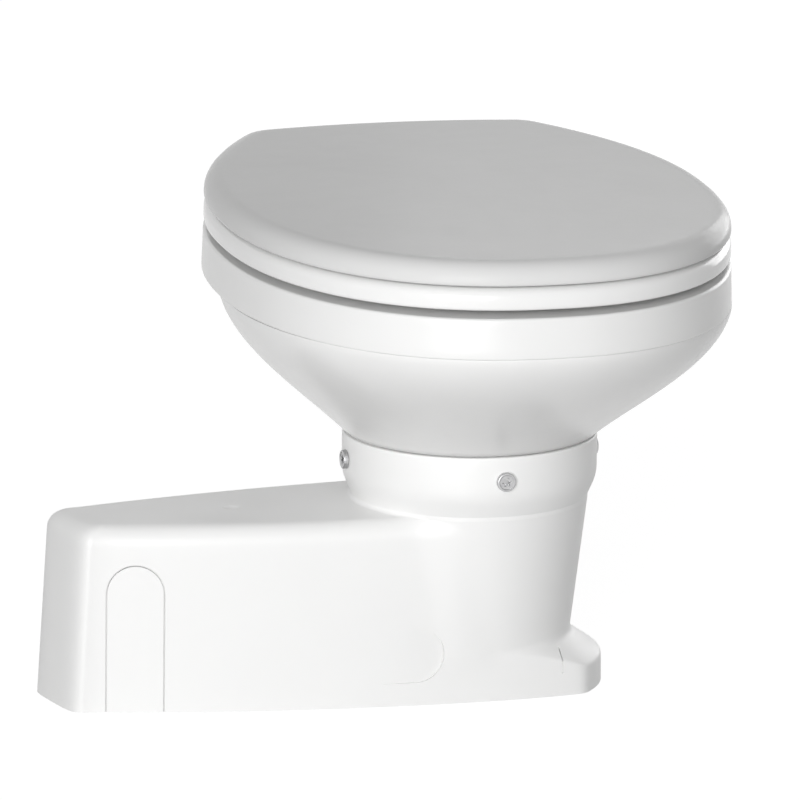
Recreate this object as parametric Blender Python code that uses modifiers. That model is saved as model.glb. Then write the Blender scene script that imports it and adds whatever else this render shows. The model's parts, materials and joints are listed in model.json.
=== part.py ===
"""Electric marine toilet: a ceramic bowl clamped in the collar of a moulded base that holds its macerator pump.

The origin is the pedestal's axis at the floor. The bowl's front faces -Y and the base's box runs out to -X.
"""

import math

import bmesh
import bpy
from mathutils import Matrix, Vector

# Sizes are in metres. Heights are measured from the floor and radii from the piece's own axis.

# Fits shared by all pieces
TOUCH_GAP = 0.0003
RUNNING_GAP = 0.0004
OVERRUN = 0.006
MERGE_DISTANCE = 0.000001

# Height of the pump's axis and its housing's size, which set the height of the box round it
PUMP_HEIGHT = 0.0720
HOUSING_RADIUS = 0.0470
PUMP_HEADROOM = 0.0100

# Base shell: box, pedestal, collar and foot in one moulding
SHELL_WALL = 0.004
BASE_HALF_WIDTH = 0.0728
SIDE_ARC_RADIUS = 1.150
FOOT_SIDE_ARC_RADIUS = 0.420
FOOT_RADIUS = 0.0952
FOOT_EDGE_HEIGHT = 0.0203
FOOT_EDGE_ROUND = 0.0012
FOOT_SLOPE_ANGLE = 28.0
BASE_END = 0.3035
END_CORNER_LENGTH = 0.0115
END_EXPONENT = 3.6
END_SLANT_ANGLE = 9.4
DRAFT_ANGLE = 0.9
END_DRAFT_ANGLE = 3.0
BOX_HEIGHT = PUMP_HEIGHT + HOUSING_RADIUS + PUMP_HEADROOM + SHELL_WALL
BOX_EDGE_RADIUS = 0.014
FILLET_ANGLES = (0.0, 45.0, 90.0)
FILLET_END_ROW = 8
PEDESTAL_FOOT_RADIUS = 0.0723
PEDESTAL_FOOT_HEIGHT = 0.036
PEDESTAL_TOP_RADIUS = 0.0843
PEDESTAL_TOP_RISE = 0.004
PEDESTAL_TOP_HEIGHT = BOX_HEIGHT + PEDESTAL_TOP_RISE
PEDESTAL_FOOT_ROUND = 0.0025
PEDESTAL_BLEND = 0.014
PEDESTAL_BLEND_REACH = 0.030
TOP_CORNER_ROUND = 0.003
COLLAR_RADIUS = 0.090
COLLAR_FLARE_HEIGHT = 0.013
COLLAR_HEIGHT = 0.030
COLLAR_START = PEDESTAL_TOP_HEIGHT + COLLAR_FLARE_HEIGHT
COLLAR_TOP = COLLAR_START + COLLAR_HEIGHT

# Marks moulded in the base shell
PORT_PLACE = 0.2590
PORT_WIDTH = 0.0405
PORT_HEIGHT = 0.1055
GROOVE_WIDTH = 0.0009
GROOVE_DEPTH = 0.0011
PAD_RADIUS = 0.0193
PAD_PLACE = 0.0575
PAD_HEIGHT = 0.0362
PAD_LENGTH = 0.050
PAD_PLANE = 0.0700
SLIT_PLACE = 0.050
SLIT_WIDTH = 0.0011
SLIT_DEPTH = 0.0012
SLIT_BOTTOM = 0.0163
SLIT_REACH = 0.0115
DIMPLE_PLACE = 0.174
DIMPLE_RADIUS = 0.0065
DIMPLE_DEPTH = 0.0009

# Clamp screws in the collar
CLAMP_RISE = 0.013
CLAMP_HEIGHT = COLLAR_START + CLAMP_RISE
CLAMP_SHANK_RADIUS = 0.0030
CLAMP_HEAD_RADIUS = 0.0067
CLAMP_HEAD_HEIGHT = 0.0033
CLAMP_HEAD_EDGE = 0.0012
CLAMP_RECESS_RADIUS = 0.0027
CLAMP_RECESS_DEPTH = 0.0018
CLAMP_DISH_RADIUS = 0.0048
CLAMP_DISH_DEPTH = 0.0007

# Outline that the bowl's rim, the seat and the lid share
BOWL_TURN = -2.3
OUTLINE_HALF_WIDTH = 0.178
OUTLINE_WIDEST = 0.018
OUTLINE_FRONT = 0.238
OUTLINE_EXPONENT = 2.24
OUTLINE_CORNER_HALF_WIDTH = 0.1085
OUTLINE_CORNER = 0.2485
OUTLINE_SIDE_EXPONENT = 2.15
OUTLINE_BACK_BULGE = 0.010
OUTLINE_SIDE_END_SHARE = 0.965
OUTLINE_BACK_END_SHARE = 0.935
OUTLINE_CORNER_SHARES = (0.05, 0.30)

# Bowl
UNDERSIDE_CLEARANCE = 0.0028
UNDERSIDE_HEIGHT = 0.0980
RIM_HEIGHT = 0.0292
UNDERSIDE_BOTTOM = COLLAR_TOP + UNDERSIDE_CLEARANCE
RIM_BOTTOM = UNDERSIDE_BOTTOM + UNDERSIDE_HEIGHT
RIM_TOP = RIM_BOTTOM + RIM_HEIGHT
RIM_TOP_GROWTH = 0.0014
RIM_BOTTOM_GROWTH = 0.0040
RIM_EDGE_ROUND = 0.0045
RIM_STEP_HEIGHT = 0.0016
SHELF_EXTRA = 0.0200
SHELF_DROP = 0.005
SHELF_DEPTH = 0.0320
LEDGE_AT_SIDE = 0.0049
LEDGE_AT_FRONT = 0.0040
UNDERSIDE_HALF_WIDTH = OUTLINE_HALF_WIDTH + RIM_BOTTOM_GROWTH - LEDGE_AT_SIDE
UNDERSIDE_FRONT = OUTLINE_FRONT - OUTLINE_WIDEST + RIM_BOTTOM_GROWTH - LEDGE_AT_FRONT
UNDERSIDE_BACK = 0.2030
UNDERSIDE_EXPONENT = 2.084
UNDERSIDE_FOOT_INSET = 0.0036
UNDERSIDE_BOTTOM_RADIUS = COLLAR_RADIUS - UNDERSIDE_FOOT_INSET
UNDERSIDE_TOP_SLOPE_SHARE = 0.204
UNDERSIDE_BELLY_SHARE = 1.458
OUTSIDE_SHARES = (0.0, 0.18, 0.38, 0.56, 0.72, 0.87, 1.0)
INSIDE_SHARES = (0.86, 0.68, 0.48, 0.26)
DISH_SHARES = (0.55, 0.30, 0.35)
FOOT_SLOPE_SHARE = 0.30
BOWL_WALL = 0.0115
RIM_OPENING_HALF_WIDTH = 0.122
RIM_OPENING_HALF_LENGTH = 0.153
OPENING_CENTRE = -0.014
RIM_LIP_RISE = 0.0052
BOWL_FLOOR_DROP = 0.0068
THROAT_DROP = 0.0080
SPIGOT_LENGTH = 0.0400
RIM_LIP_BOTTOM = RIM_BOTTOM + RIM_LIP_RISE
BOWL_FLOOR = UNDERSIDE_BOTTOM - BOWL_FLOOR_DROP
THROAT_RADIUS = 0.030
THROAT_HEIGHT = BOWL_FLOOR - THROAT_DROP
SPIGOT_WALL = 0.006
SPIGOT_BOTTOM = THROAT_HEIGHT - SPIGOT_LENGTH
FOOT_RING_GAP = 0.0022
FOOT_RING_RADIUS = COLLAR_RADIUS - SHELL_WALL - FOOT_RING_GAP
FOOT_RING_WALL = 0.013
FOOT_RING_RISE = 0.0055
FOOT_RING_BOTTOM = COLLAR_START + FOOT_RING_RISE
BOSS_RADIUS = 0.016
BOSS_LENGTH = 0.0445
BOSS_END = UNDERSIDE_BACK
BOSS_START = BOSS_END - BOSS_LENGTH
INLET_DROP = 0.0188
INLET_HEIGHT = RIM_BOTTOM - INLET_DROP
INLET_RADIUS = 0.0088

# Seat and lid
SEAT_LIFT = 0.0054
SEAT_THICKNESS = 0.0156
SEAT_BOTTOM = RIM_TOP + SEAT_LIFT
SEAT_TOP_ROUND = 0.0075
SEAT_BOTTOM_ROUND = 0.0025
SEAT_OPENING_HALF_WIDTH = 0.108
SEAT_OPENING_HALF_LENGTH = 0.140
LID_LIFT = 0.0014
LID_BOTTOM = SEAT_BOTTOM + SEAT_THICKNESS + LID_LIFT
LID_THICKNESS = 0.0167
LID_TOP_ROUND = 0.0135
LID_BOTTOM_ROUND = 0.0022
LID_CROWN = 0.0008
BUFFER_RADIUS = 0.0085
SEAT_BUFFER_GAP = 0.0004
LID_BUFFER_RADIUS = 0.0050
SEAT_BUFFER_PLACE_SHARES = ((0.36, 0.62), (0.80, -0.12))
LID_BUFFER_PLACE_SHARES = (0.34, 0.70)

# Hinge at the back
HINGE_SETBACK = 0.0155
HINGE_AXIS = OUTLINE_CORNER + HINGE_SETBACK
HINGE_HEIGHT = SEAT_BOTTOM + SEAT_THICKNESS
SHELF_FRONT = HINGE_AXIS - SHELF_DEPTH
HINGE_PLACE = 0.0775
KNUCKLE_RADIUS = 0.0060
KNUCKLE_WIDTH = 0.0100
PIN_RADIUS = 0.0030
PIN_HEAD_RADIUS = 0.0048
PIN_HEAD_WIDTH = 0.0020
POST_WIDTH = 0.0120
POST_DEPTH = 0.0110
POST_PLATE_FRONT = 0.0300
POST_PLATE_BACK = 0.0070
POST_PLATE_WIDTH = 0.0240
POST_PLATE_THICKNESS = 0.0035
HINGE_SIDE_GAP = 0.0006
STRAP_THICKNESS = 0.0030
STRAP_FRONT = 0.0340
STRAP_POCKET_GAP = 0.0004
BOLT_PLACE = 0.0180
BOLT_RADIUS = 0.0040
BOLT_HEAD_RADIUS = 0.0068
BOLT_HEAD_HEIGHT = 0.0028
BOLT_LENGTH = 0.046
BOLT_HOLE_RADIUS = 0.0055
WASHER_RADIUS = 0.0110
WASHER_THICKNESS = 0.0030
NUT_RADIUS = 0.0080
NUT_HEIGHT = 0.0080
NUT_WING_REACH = 0.0150
NUT_WING_THICKNESS = 0.0030
NUT_WING_HEIGHT = 0.0130

# Mounting plate and sump
PLATE_THICKNESS = 0.004
PLATE_MARGIN = 0.0018
SUMP_RADIUS = 0.0440
SUMP_WALL = 0.0035
BOWL_SEAL_SPACE = 0.0045
SUMP_TOP = FOOT_RING_BOTTOM - BOWL_SEAL_SPACE
SUMP_FLANGE_THICKNESS = 0.0027
SUMP_FLANGE_EDGE = 0.0008
SUMP_FLANGE_GAP = 0.0012
SUMP_FLANGE_RADIUS = COLLAR_RADIUS - SHELL_WALL - SUMP_FLANGE_GAP
SUMP_FLOOR_HEIGHT = 0.0420
SUMP_FLOOR_THICKNESS = 0.0060
SUMP_PORT_RADIUS = 0.0280
SUMP_PORT_FACE = 0.0660
SUMP_PORT_FLANGE_RADIUS = 0.0460
SUMP_PORT_FLANGE_THICKNESS = 0.0050
SEAL_RING_INSET = 0.0006
SEAL_RING_WIDTH = 0.0117
SEAL_RING_OUTER = FOOT_RING_RADIUS - SEAL_RING_INSET
SEAL_RING_INNER = SEAL_RING_OUTER - SEAL_RING_WIDTH
SPIGOT_SEAL_DROP = 0.0050
SPIGOT_SEAL_TOP = SUMP_TOP - SPIGOT_SEAL_DROP
SPIGOT_SEAL_HEIGHT = 0.0120

# Pump and motor, on one axis that runs out to -X
HOUSING_WALL = 0.0045
HOUSING_LENGTH = 0.0400
SHEAR_PLATE_THICKNESS = 0.0020
SHEAR_PLATE_PLACE = 0.0140
SHEAR_HOLE_RADIUS = 0.0050
SHEAR_HOLE_CIRCLE = 0.0270
SHEAR_HOLE_COUNT = 8
SHAFT_RADIUS = 0.0040
SHAFT_START = 0.0680
SHAFT_END = 0.2112
BLADE_PLACE = 0.0740
BLADE_RADIUS = 0.0360
BLADE_WIDTH = 0.0130
BLADE_THICKNESS = 0.0025
BLADE_TIP_HEIGHT = 0.0045
BLADE_HUB_RADIUS = 0.0085
BLADE_HUB_LENGTH = 0.0070
IMPELLER_PLACE = 0.1000
IMPELLER_RADIUS = 0.0350
IMPELLER_DISC = 0.0025
IMPELLER_VANE_HEIGHT = 0.0090
IMPELLER_VANE_THICKNESS = 0.0025
IMPELLER_HUB_RADIUS = 0.0090
IMPELLER_VANE_COUNT = 5
BACK_PLATE_THICKNESS = 0.0080
BACK_PLATE_SPIGOT_LENGTH = 0.0050
MOTOR_RADIUS = 0.0340
MOTOR_WALL = 0.0025
MOTOR_LENGTH = 0.0900
MOTOR_FLANGE_RADIUS = 0.0370
MOTOR_FLANGE_THICKNESS = 0.0030
END_CAP_LENGTH = 0.0150
END_CAP_ROUND = 0.0040
BEARING_RADIUS = 0.0110
BEARING_WIDTH = 0.0070
BEARING_EDGE = 0.0006
SHAFT_SEAL_RADIUS = 0.0085
SHAFT_SEAL_WIDTH = 0.0050
MAGNET_THICKNESS = 0.0045
MAGNET_LENGTH = 0.0500
ARMATURE_RADIUS = 0.0250
ARMATURE_LENGTH = 0.0480
ARMATURE_SLOT_WIDTH = 0.0040
ARMATURE_SLOT_DEPTH = 0.0080
ARMATURE_SLOT_COUNT = 8
CRADLE_FRONT = 0.0240
CRADLE_BACK = 0.0140
CRADLE_THICKNESS = 0.0060
CRADLE_PLACE_SHARES = (0.20, 0.80)

# Discharge
DISCHARGE_SIDE = 0.0290
DISCHARGE_HEIGHT = 0.0300
DISCHARGE_WALL = 0.0030
DISCHARGE_BORE_RADIUS = 0.0095
DISCHARGE_BOSS_RADIUS = 0.0145
DISCHARGE_PASSAGE_RADIUS = 0.0080
DISCHARGE_BEND = 0.0340
DISCHARGE_FLANGE_RADIUS = 0.0165
DISCHARGE_FLANGE_THICKNESS = 0.0030
CONNECTOR_LENGTH = 0.0190
CONNECTOR_BARB = 0.0010
CONNECTOR_BARB_COUNT = 2
FLAP_VALVE_LENGTH = 0.0150
FLAP_VALVE_WALL = 0.0014
FLAP_VALVE_FLANGE = 0.0020
FLAP_VALVE_SLIT = 0.0004

# Rinse water valve in the pedestal's back
RINSE_HEIGHT = 0.0750
RINSE_BLOCK_DEPTH = 0.0240
RINSE_BLOCK_HALF_WIDTH = 0.0140
RINSE_BLOCK_HALF_HEIGHT = 0.0120
RINSE_BLOCK_ROUND = 0.0010
RINSE_BARB_RADIUS = 0.0060
RINSE_BARB_BORE = 0.0035
RINSE_BARB_END = 0.1000
RINSE_INTAKE_RADIUS = 0.0045
RINSE_INTAKE_BORE = 0.0025
RINSE_INTAKE_LENGTH = 0.0220
RINSE_INTAKE_RISE = 0.0065
RINSE_SEAT_RISE = 0.0045
RINSE_ORIFICE_RADIUS = 0.0020
RINSE_CHAMBER_RADIUS = 0.0070
RINSE_HOLE_RADIUS = 0.0068
COIL_RADIUS = 0.0105
COIL_HEIGHT = 0.0330
COIL_BORE_RADIUS = 0.0046
COIL_LID_THICKNESS = 0.0030
COIL_EDGE = 0.0010
PLUNGER_RADIUS = 0.0042
PLUNGER_LENGTH = 0.0200
PLUNGER_TRAVEL = 0.0030
SPRING_RADIUS = 0.0028
SPRING_WIRE_RADIUS = 0.0004
SPRING_TURNS = 5

# Rinse water hose up the back, and its elbow and nozzle through the bowl
RINSE_HOSE_RADIUS = 0.0090
RINSE_HOSE_WALL = 0.0025
RINSE_HOSE_START = 0.0850
ELBOW_PIPE_RADIUS = 0.0080
ELBOW_BORE_RADIUS = 0.0045
ELBOW_FLANGE_RADIUS = 0.0140
ELBOW_FLANGE_THICKNESS = 0.0030
ELBOW_STANDOFF = 0.0200
ELBOW_REACH = BOSS_END + ELBOW_STANDOFF
ELBOW_BEND = 0.0110
ELBOW_DROP = 0.0290
ELBOW_BARB_LENGTH = 0.0200
ELBOW_SHOULDER = INLET_HEIGHT - ELBOW_DROP
ELBOW_BARB_END = ELBOW_SHOULDER - ELBOW_BARB_LENGTH
HOSE_TOP_GAP = 0.0040
RINSE_HOSE_TOP = ELBOW_SHOULDER - HOSE_TOP_GAP
ELBOW_TIP_LENGTH = 0.0135
ELBOW_TIP = BOSS_START - ELBOW_TIP_LENGTH
RINSE_NUT_RADIUS = 0.0135
RINSE_NUT_THICKNESS = 0.0050
NOZZLE_RADIUS = 0.0125
NOZZLE_WALL = 0.0020
NOZZLE_LENGTH = 0.0140
NOZZLE_SLOT = 0.0050
HOSE_CLAMP_WIDTH = 0.0080
HOSE_CLAMP_THICKNESS = 0.0012
HOSE_CLAMP_INSET = 0.0020

# How finely the curved forms are cut
END_STATIONS = 7
SIDE_STATIONS = 8
SIDE_SPACING_SHARE = 0.5
FOOT_STATIONS = 9
OUTLINE_FRONT_STATIONS = 9
OUTLINE_SIDE_STATIONS = 5
OUTLINE_BACK_STATIONS = 2
SUMP_STEPS = 28
LARGE_STEPS = 16
MEDIUM_STEPS = 14
SCREW_STEPS = 12
SMALL_STEPS = 9
HOLE_STEPS = 7

WHITE_PLASTIC = ("white_plastic", (0.90, 0.90, 0.89), 0.28, 0.0)
WHITE_ENAMEL = ("white_enamel", (0.88, 0.88, 0.88), 0.16, 0.0)
CERAMIC = ("white_ceramic", (0.92, 0.92, 0.91), 0.08, 0.0)
NYLON = ("white_nylon", (0.86, 0.86, 0.84), 0.40, 0.0)
STEEL = ("stainless_steel", (0.62, 0.62, 0.63), 0.30, 1.0)
RUBBER = ("black_rubber", (0.04, 0.04, 0.04), 0.75, 0.0)
WHITE_RUBBER = ("white_rubber", (0.82, 0.82, 0.80), 0.60, 0.0)
DARK_PLASTIC = ("dark_plastic", (0.08, 0.08, 0.09), 0.45, 0.0)
MOTOR_PAINT = ("motor_paint", (0.10, 0.10, 0.11), 0.40, 0.0)
MAGNET = ("magnet", (0.20, 0.20, 0.21), 0.60, 0.4)
HOSE = ("hose_white", (0.80, 0.80, 0.78), 0.50, 0.0)


def clear_scene():
    for obj in list(bpy.data.objects):
        bpy.data.objects.remove(obj, do_unlink=True)


def collection(name, hidden=False):
    made = bpy.data.collections.new(name)
    bpy.context.scene.collection.children.link(made)
    made.hide_render = hidden
    return made


clear_scene()
PIECES = collection("marine_toilet")
CUTTERS = collection("cutters", hidden=True)


def finish_of(finish):
    name, colour, roughness, metallic = finish
    material = bpy.data.materials.get(name)
    if material is None:
        material = bpy.data.materials.new(name)
        material.use_nodes = True
        shader = material.node_tree.nodes["Principled BSDF"]
        shader.inputs["Base Color"].default_value = (*colour, 1.0)
        shader.inputs["Roughness"].default_value = roughness
        shader.inputs["Metallic"].default_value = metallic
        material.diffuse_color = (*colour, 1.0)
    return material


def axis_empty(name, location, rotation=(0.0, 0.0, 0.0), parent=None):
    """An empty on the axis that pieces turn about. Its pieces keep their parent's coordinates."""
    empty = bpy.data.objects.new(name, None)
    empty.location = location
    empty.rotation_euler = rotation
    empty.parent = parent
    PIECES.objects.link(empty)
    return empty


def own(obj, finish, parent=None):
    """Puts a piece in the toilet's collection, with its finish and its parent axis."""
    for home in list(obj.users_collection):
        home.objects.unlink(obj)
    PIECES.objects.link(obj)
    obj.data.materials.clear()
    obj.data.materials.append(finish_of(finish))
    obj.parent = parent
    if parent is not None:
        obj.matrix_parent_inverse = Matrix.Translation(-parent.location)
    return obj


def tool(obj, parent=None):
    """Puts a cutter or a shape to be joined on among the cutters."""
    for home in list(obj.users_collection):
        home.objects.unlink(obj)
    CUTTERS.objects.link(obj)
    obj.hide_render = True
    obj.display_type = "WIRE"
    obj.parent = parent
    return obj


def mesh_object(name, mesh_maker, smooth_angle=35.0):
    mesh = bpy.data.meshes.new(name)
    mesh_maker.normal_update()
    mesh_maker.to_mesh(mesh)
    mesh_maker.free()
    mesh.shade_smooth()
    mesh.set_sharp_from_angle(angle=math.radians(smooth_angle))
    return bpy.data.objects.new(name, mesh)


def boolean(obj, other, operation):
    modifier = obj.modifiers.new(operation.lower(), "BOOLEAN")
    modifier.operation = operation
    modifier.object = other
    modifier.solver = "EXACT"
    return obj


def cut(obj, *others):
    for other in others:
        boolean(obj, other, "DIFFERENCE")
    return obj


def join(obj, *others):
    for other in others:
        boolean(obj, other, "UNION")
    return obj


def turned(name, profile, steps, centre=(0.0, 0.0, 0.0), rotation=(0.0, 0.0, 0.0)):
    """Turns a profile of (radius, height) points round Z. Points off the axis at both ends close into a ring."""
    doubled_area = sum(a[0] * b[1] - b[0] * a[1] for a, b in zip(profile, profile[1:] + profile[:1]))
    if doubled_area > 0.0:
        profile = profile[::-1]
    mesh = bpy.data.meshes.new(name)
    count = len(profile)
    ring = profile[0][0] > 0.0 and profile[-1][0] > 0.0
    edges = [(i, i + 1) for i in range(count - 1)]
    if ring:
        edges.append((count - 1, 0))
    half_step = math.pi / steps
    across, along = math.cos(half_step), math.sin(half_step)
    mesh.from_pydata([(radius * across, radius * along, height) for radius, height in profile], edges, [])
    obj = bpy.data.objects.new(name, mesh)
    obj.location = centre
    obj.rotation_euler = rotation
    screw = obj.modifiers.new("turn", "SCREW")
    screw.axis = "Z"
    screw.angle = 2.0 * math.pi
    screw.steps = steps
    screw.render_steps = steps
    screw.use_merge_vertices = True
    screw.merge_threshold = MERGE_DISTANCE
    screw.use_smooth_shade = True
    return obj


def disc(name, radius, bottom, top, steps=MEDIUM_STEPS, centre=(0.0, 0.0, 0.0), rotation=(0.0, 0.0, 0.0)):
    return turned(name, [(0.0, top), (radius, top), (radius, bottom), (0.0, bottom)], steps, centre, rotation)


def ring(name, inner, outer, bottom, top, steps=MEDIUM_STEPS, centre=(0.0, 0.0, 0.0), rotation=(0.0, 0.0, 0.0)):
    profile = [(inner, top), (outer, top), (outer, bottom), (inner, bottom)]
    return turned(name, profile, steps, centre, rotation)


def block(name, low, high, round_edges=0.0):
    """A box between two corners, its edges rounded if asked."""
    maker = bmesh.new()
    bmesh.ops.create_cube(maker, size=1.0)
    low, high = Vector(low), Vector(high)
    size = high - low
    bmesh.ops.transform(maker, matrix=Matrix.Translation((low + high) / 2.0) @ Matrix.Diagonal((*size, 1.0)),
                        verts=maker.verts)
    obj = mesh_object(name, maker)
    if round_edges > 0.0:
        bevel = obj.modifiers.new("edges", "BEVEL")
        bevel.width = round_edges
        bevel.segments = 2
        bevel.limit_method = "ANGLE"
    return obj


def extruded(name, outlines, thickness, matrix, resolution=6):
    """A flat outline, with any holes, as a filled 2D curve of this thickness, made a mesh in the matrix's plane."""
    curve = bpy.data.curves.new(name, "CURVE")
    curve.dimensions = "2D"
    curve.fill_mode = "BOTH"
    curve.extrude = thickness / 2.0
    curve.resolution_u = resolution
    for outline in outlines:
        spline = curve.splines.new("POLY")
        spline.points.add(len(outline) - 1)
        for point, (x, y) in zip(spline.points, outline):
            point.co = (x, y, 0.0, 1.0)
        spline.use_cyclic_u = True
    return meshed(name, curve, matrix)


def meshed(name, curve, matrix):
    """The mesh of a curve, with its caps welded on."""
    source = bpy.data.objects.new(name + "_curve", curve)
    bpy.context.scene.collection.objects.link(source)
    source.matrix_world = matrix
    graph = bpy.context.evaluated_depsgraph_get()
    mesh = bpy.data.meshes.new_from_object(source.evaluated_get(graph))
    maker = bmesh.new()
    maker.from_mesh(mesh)
    bmesh.ops.remove_doubles(maker, verts=maker.verts, dist=MERGE_DISTANCE)
    bmesh.ops.recalc_face_normals(maker, faces=maker.faces)
    maker.to_mesh(mesh)
    maker.free()
    mesh.shade_smooth()
    mesh.set_sharp_from_angle(angle=math.radians(35.0))
    obj = bpy.data.objects.new(name, mesh)
    obj.matrix_world = matrix
    bpy.data.objects.remove(source, do_unlink=True)
    return obj


def rod(name, points, radius, sides=2):
    """A round rod along points, as a curve with a bevel made a mesh."""
    curve = bpy.data.curves.new(name, "CURVE")
    curve.dimensions = "3D"
    curve.bevel_depth = radius
    curve.bevel_resolution = sides
    curve.use_fill_caps = True
    spline = curve.splines.new("POLY")
    spline.points.add(len(points) - 1)
    for point, place in zip(spline.points, points):
        point.co = (*place, 1.0)
    return meshed(name, curve, Matrix.Identity(4))


def smooth_path(knots, per_span):
    """Points on a smooth curve through the knots, by the Catmull-Rom rule."""
    knots = [Vector(knot) for knot in knots]
    padded = [2.0 * knots[0] - knots[1], *knots, 2.0 * knots[-1] - knots[-2]]
    points = []
    for i in range(1, len(padded) - 2):
        before, start, end, after = padded[i - 1:i + 3]
        for step in range(per_span):
            t = step / per_span
            points.append(0.5 * (2.0 * start + (end - before) * t
                                 + (2.0 * before - 5.0 * start + 4.0 * end - after) * t ** 2
                                 + (3.0 * start - before - 3.0 * end + after) * t ** 3))
    points.append(knots[-1])
    return points


def lofted(name, rings, closed_loop, caps=False, smooth_angle=35.0):
    """A skin over rings of points, all of one count. The last ring joins the first in a closed loop."""
    maker = bmesh.new()
    rows = [[maker.verts.new(point) for point in points] for points in rings]
    pairs = list(zip(rows, rows[1:]))
    if closed_loop:
        pairs.append((rows[-1], rows[0]))
    count = len(rows[0])
    for lower, upper in pairs:
        for i in range(count):
            j = (i + 1) % count
            maker.faces.new((lower[i], lower[j], upper[j], upper[i]))
    if caps:
        maker.faces.new(rows[0])
        maker.faces.new(rows[-1])
    bmesh.ops.recalc_face_normals(maker, faces=maker.faces)
    return mesh_object(name, maker, smooth_angle)


def smooth_max(first, second, width):
    """The larger of two values, rounded over where they lie within the width of each other."""
    if width <= 0.0:
        return max(first, second)
    near = max(width - abs(first - second), 0.0) / width
    return max(first, second) + near * near * width / 4.0


# Base shell

def pedestal_radius(height):
    """Radius of the pedestal's cone, which widens upwards."""
    share = (height - PEDESTAL_FOOT_HEIGHT) / (PEDESTAL_TOP_HEIGHT - PEDESTAL_FOOT_HEIGHT)
    return PEDESTAL_FOOT_RADIUS + (PEDESTAL_TOP_RADIUS - PEDESTAL_FOOT_RADIUS) * share


def side_half_width(x):
    """Half of the base's width at the floor: two long arcs that meet at the pedestal's axis."""
    radius = FOOT_SIDE_ARC_RADIUS if x > 0.0 else SIDE_ARC_RADIUS
    return BASE_HALF_WIDTH - x * x / (2.0 * radius)


def draft(height, angle=DRAFT_ANGLE):
    """How far a wall has leaned in at this height."""
    return height * math.tan(math.radians(angle))


def slanted(x, y, height):
    """Sets a point of the box askew, so that its end wall stands at a slant to the box's length."""
    reach = max((-x - COLLAR_RADIUS) / (BASE_END - COLLAR_RADIUS), 0.0)
    return x - y * math.tan(math.radians(END_SLANT_ANGLE)) * reach * reach, y, height


def wall_place(x, side):
    """Where a side wall meets the floor nearest this place along the box, and the wall's turn there."""
    ahead = x + PORT_WIDTH / 2.0
    behind = x - PORT_WIDTH / 2.0
    here = Vector(slanted(x, side * side_half_width(x), 0.0))
    along = (Vector(slanted(ahead, side * side_half_width(ahead), 0.0))
             - Vector(slanted(behind, side * side_half_width(behind), 0.0)))
    return here, math.atan2(along.y, along.x)


def box_point(station, inset, end_inset=None):
    """Plan point of the box's outline, moved in by the inset. Stations run from the end's middle to the axis."""
    end = BASE_END - (inset if end_inset is None else end_inset)
    corner = min(END_CORNER_LENGTH, end)
    if station <= 1.0:
        angle = station * math.pi / 2.0
        x = -end + corner * (1.0 - math.cos(angle) ** (2.0 / END_EXPONENT))
        y = (side_half_width(-end + corner) - inset) * math.sin(angle) ** (2.0 / END_EXPONENT)
        return x, y
    x = (-end + corner) * (2.0 - station)
    return x, side_half_width(x) - inset


def foot_radius(angle):
    """Distance from the axis to the foot's outline at the floor, by the angle from +X."""
    across = math.cos(angle) ** 2 / (2.0 * FOOT_SIDE_ARC_RADIUS)
    if across < 1.0e-6 / FOOT_SIDE_ARC_RADIUS:
        return min(BASE_HALF_WIDTH / math.sin(angle), FOOT_RADIUS)
    side = (-math.sin(angle) + math.sqrt(math.sin(angle) ** 2 + 4.0 * across * BASE_HALF_WIDTH)) / (2.0 * across)
    return min(side, FOOT_RADIUS)


def foot_corner_angle():
    """Angle at which the foot's side wall meets its round end."""
    low, high = 0.0, math.pi / 2.0
    for _ in range(40):
        middle = (low + high) / 2.0
        if foot_radius(middle) < FOOT_RADIUS:
            high = middle
        else:
            low = middle
    return high


def foot_ledge(radius):
    """Height of the foot's sloping ledge at this distance from the axis."""
    return FOOT_EDGE_HEIGHT + (FOOT_RADIUS - radius) * math.tan(math.radians(FOOT_SLOPE_ANGLE))


def shell_side_profile(station, arc_angle):
    """Points of the shell above one station of the box, from the floor to the collar's top."""
    fillet_start = BOX_HEIGHT - BOX_EDGE_RADIUS

    def wall(height, inset=0.0):
        straight = min(height, fillet_start)
        x, y = box_point(station, draft(straight) + inset, draft(straight, END_DRAFT_ANGLE) + inset)
        cone = pedestal_radius(height)
        if height > PEDESTAL_FOOT_HEIGHT - FOOT_EDGE_ROUND and abs(x) < cone:
            blend = PEDESTAL_BLEND * min(-x / PEDESTAL_BLEND_REACH, 1.0)
            y = smooth_max(y, math.sqrt(cone * cone - x * x), blend)
        return (x, y, height)

    ledge = foot_ledge(BASE_HALF_WIDTH)
    heights = [0.0, ledge - 2.0 * FOOT_EDGE_ROUND, ledge, PEDESTAL_FOOT_HEIGHT,
               PEDESTAL_FOOT_HEIGHT + PEDESTAL_FOOT_ROUND]
    heights.append((heights[-1] + fillet_start) / 2.0)
    points = [wall(height) for height in heights]
    for turn in FILLET_ANGLES:
        turn = math.radians(turn)
        height = fillet_start + BOX_EDGE_RADIUS * math.sin(turn)
        points.append(wall(height, BOX_EDGE_RADIUS * (1.0 - math.cos(turn))))
    x, y, _ = points[-1]
    spread = min(max((math.hypot(x, y) - pedestal_radius(BOX_HEIGHT)) / (2.0 * TOP_CORNER_ROUND), 0.0), 1.0)
    if arc_angle is None:
        arc_angle = math.atan2(y, x)
    points += pedestal_points(arc_angle, spread)
    return points


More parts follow.
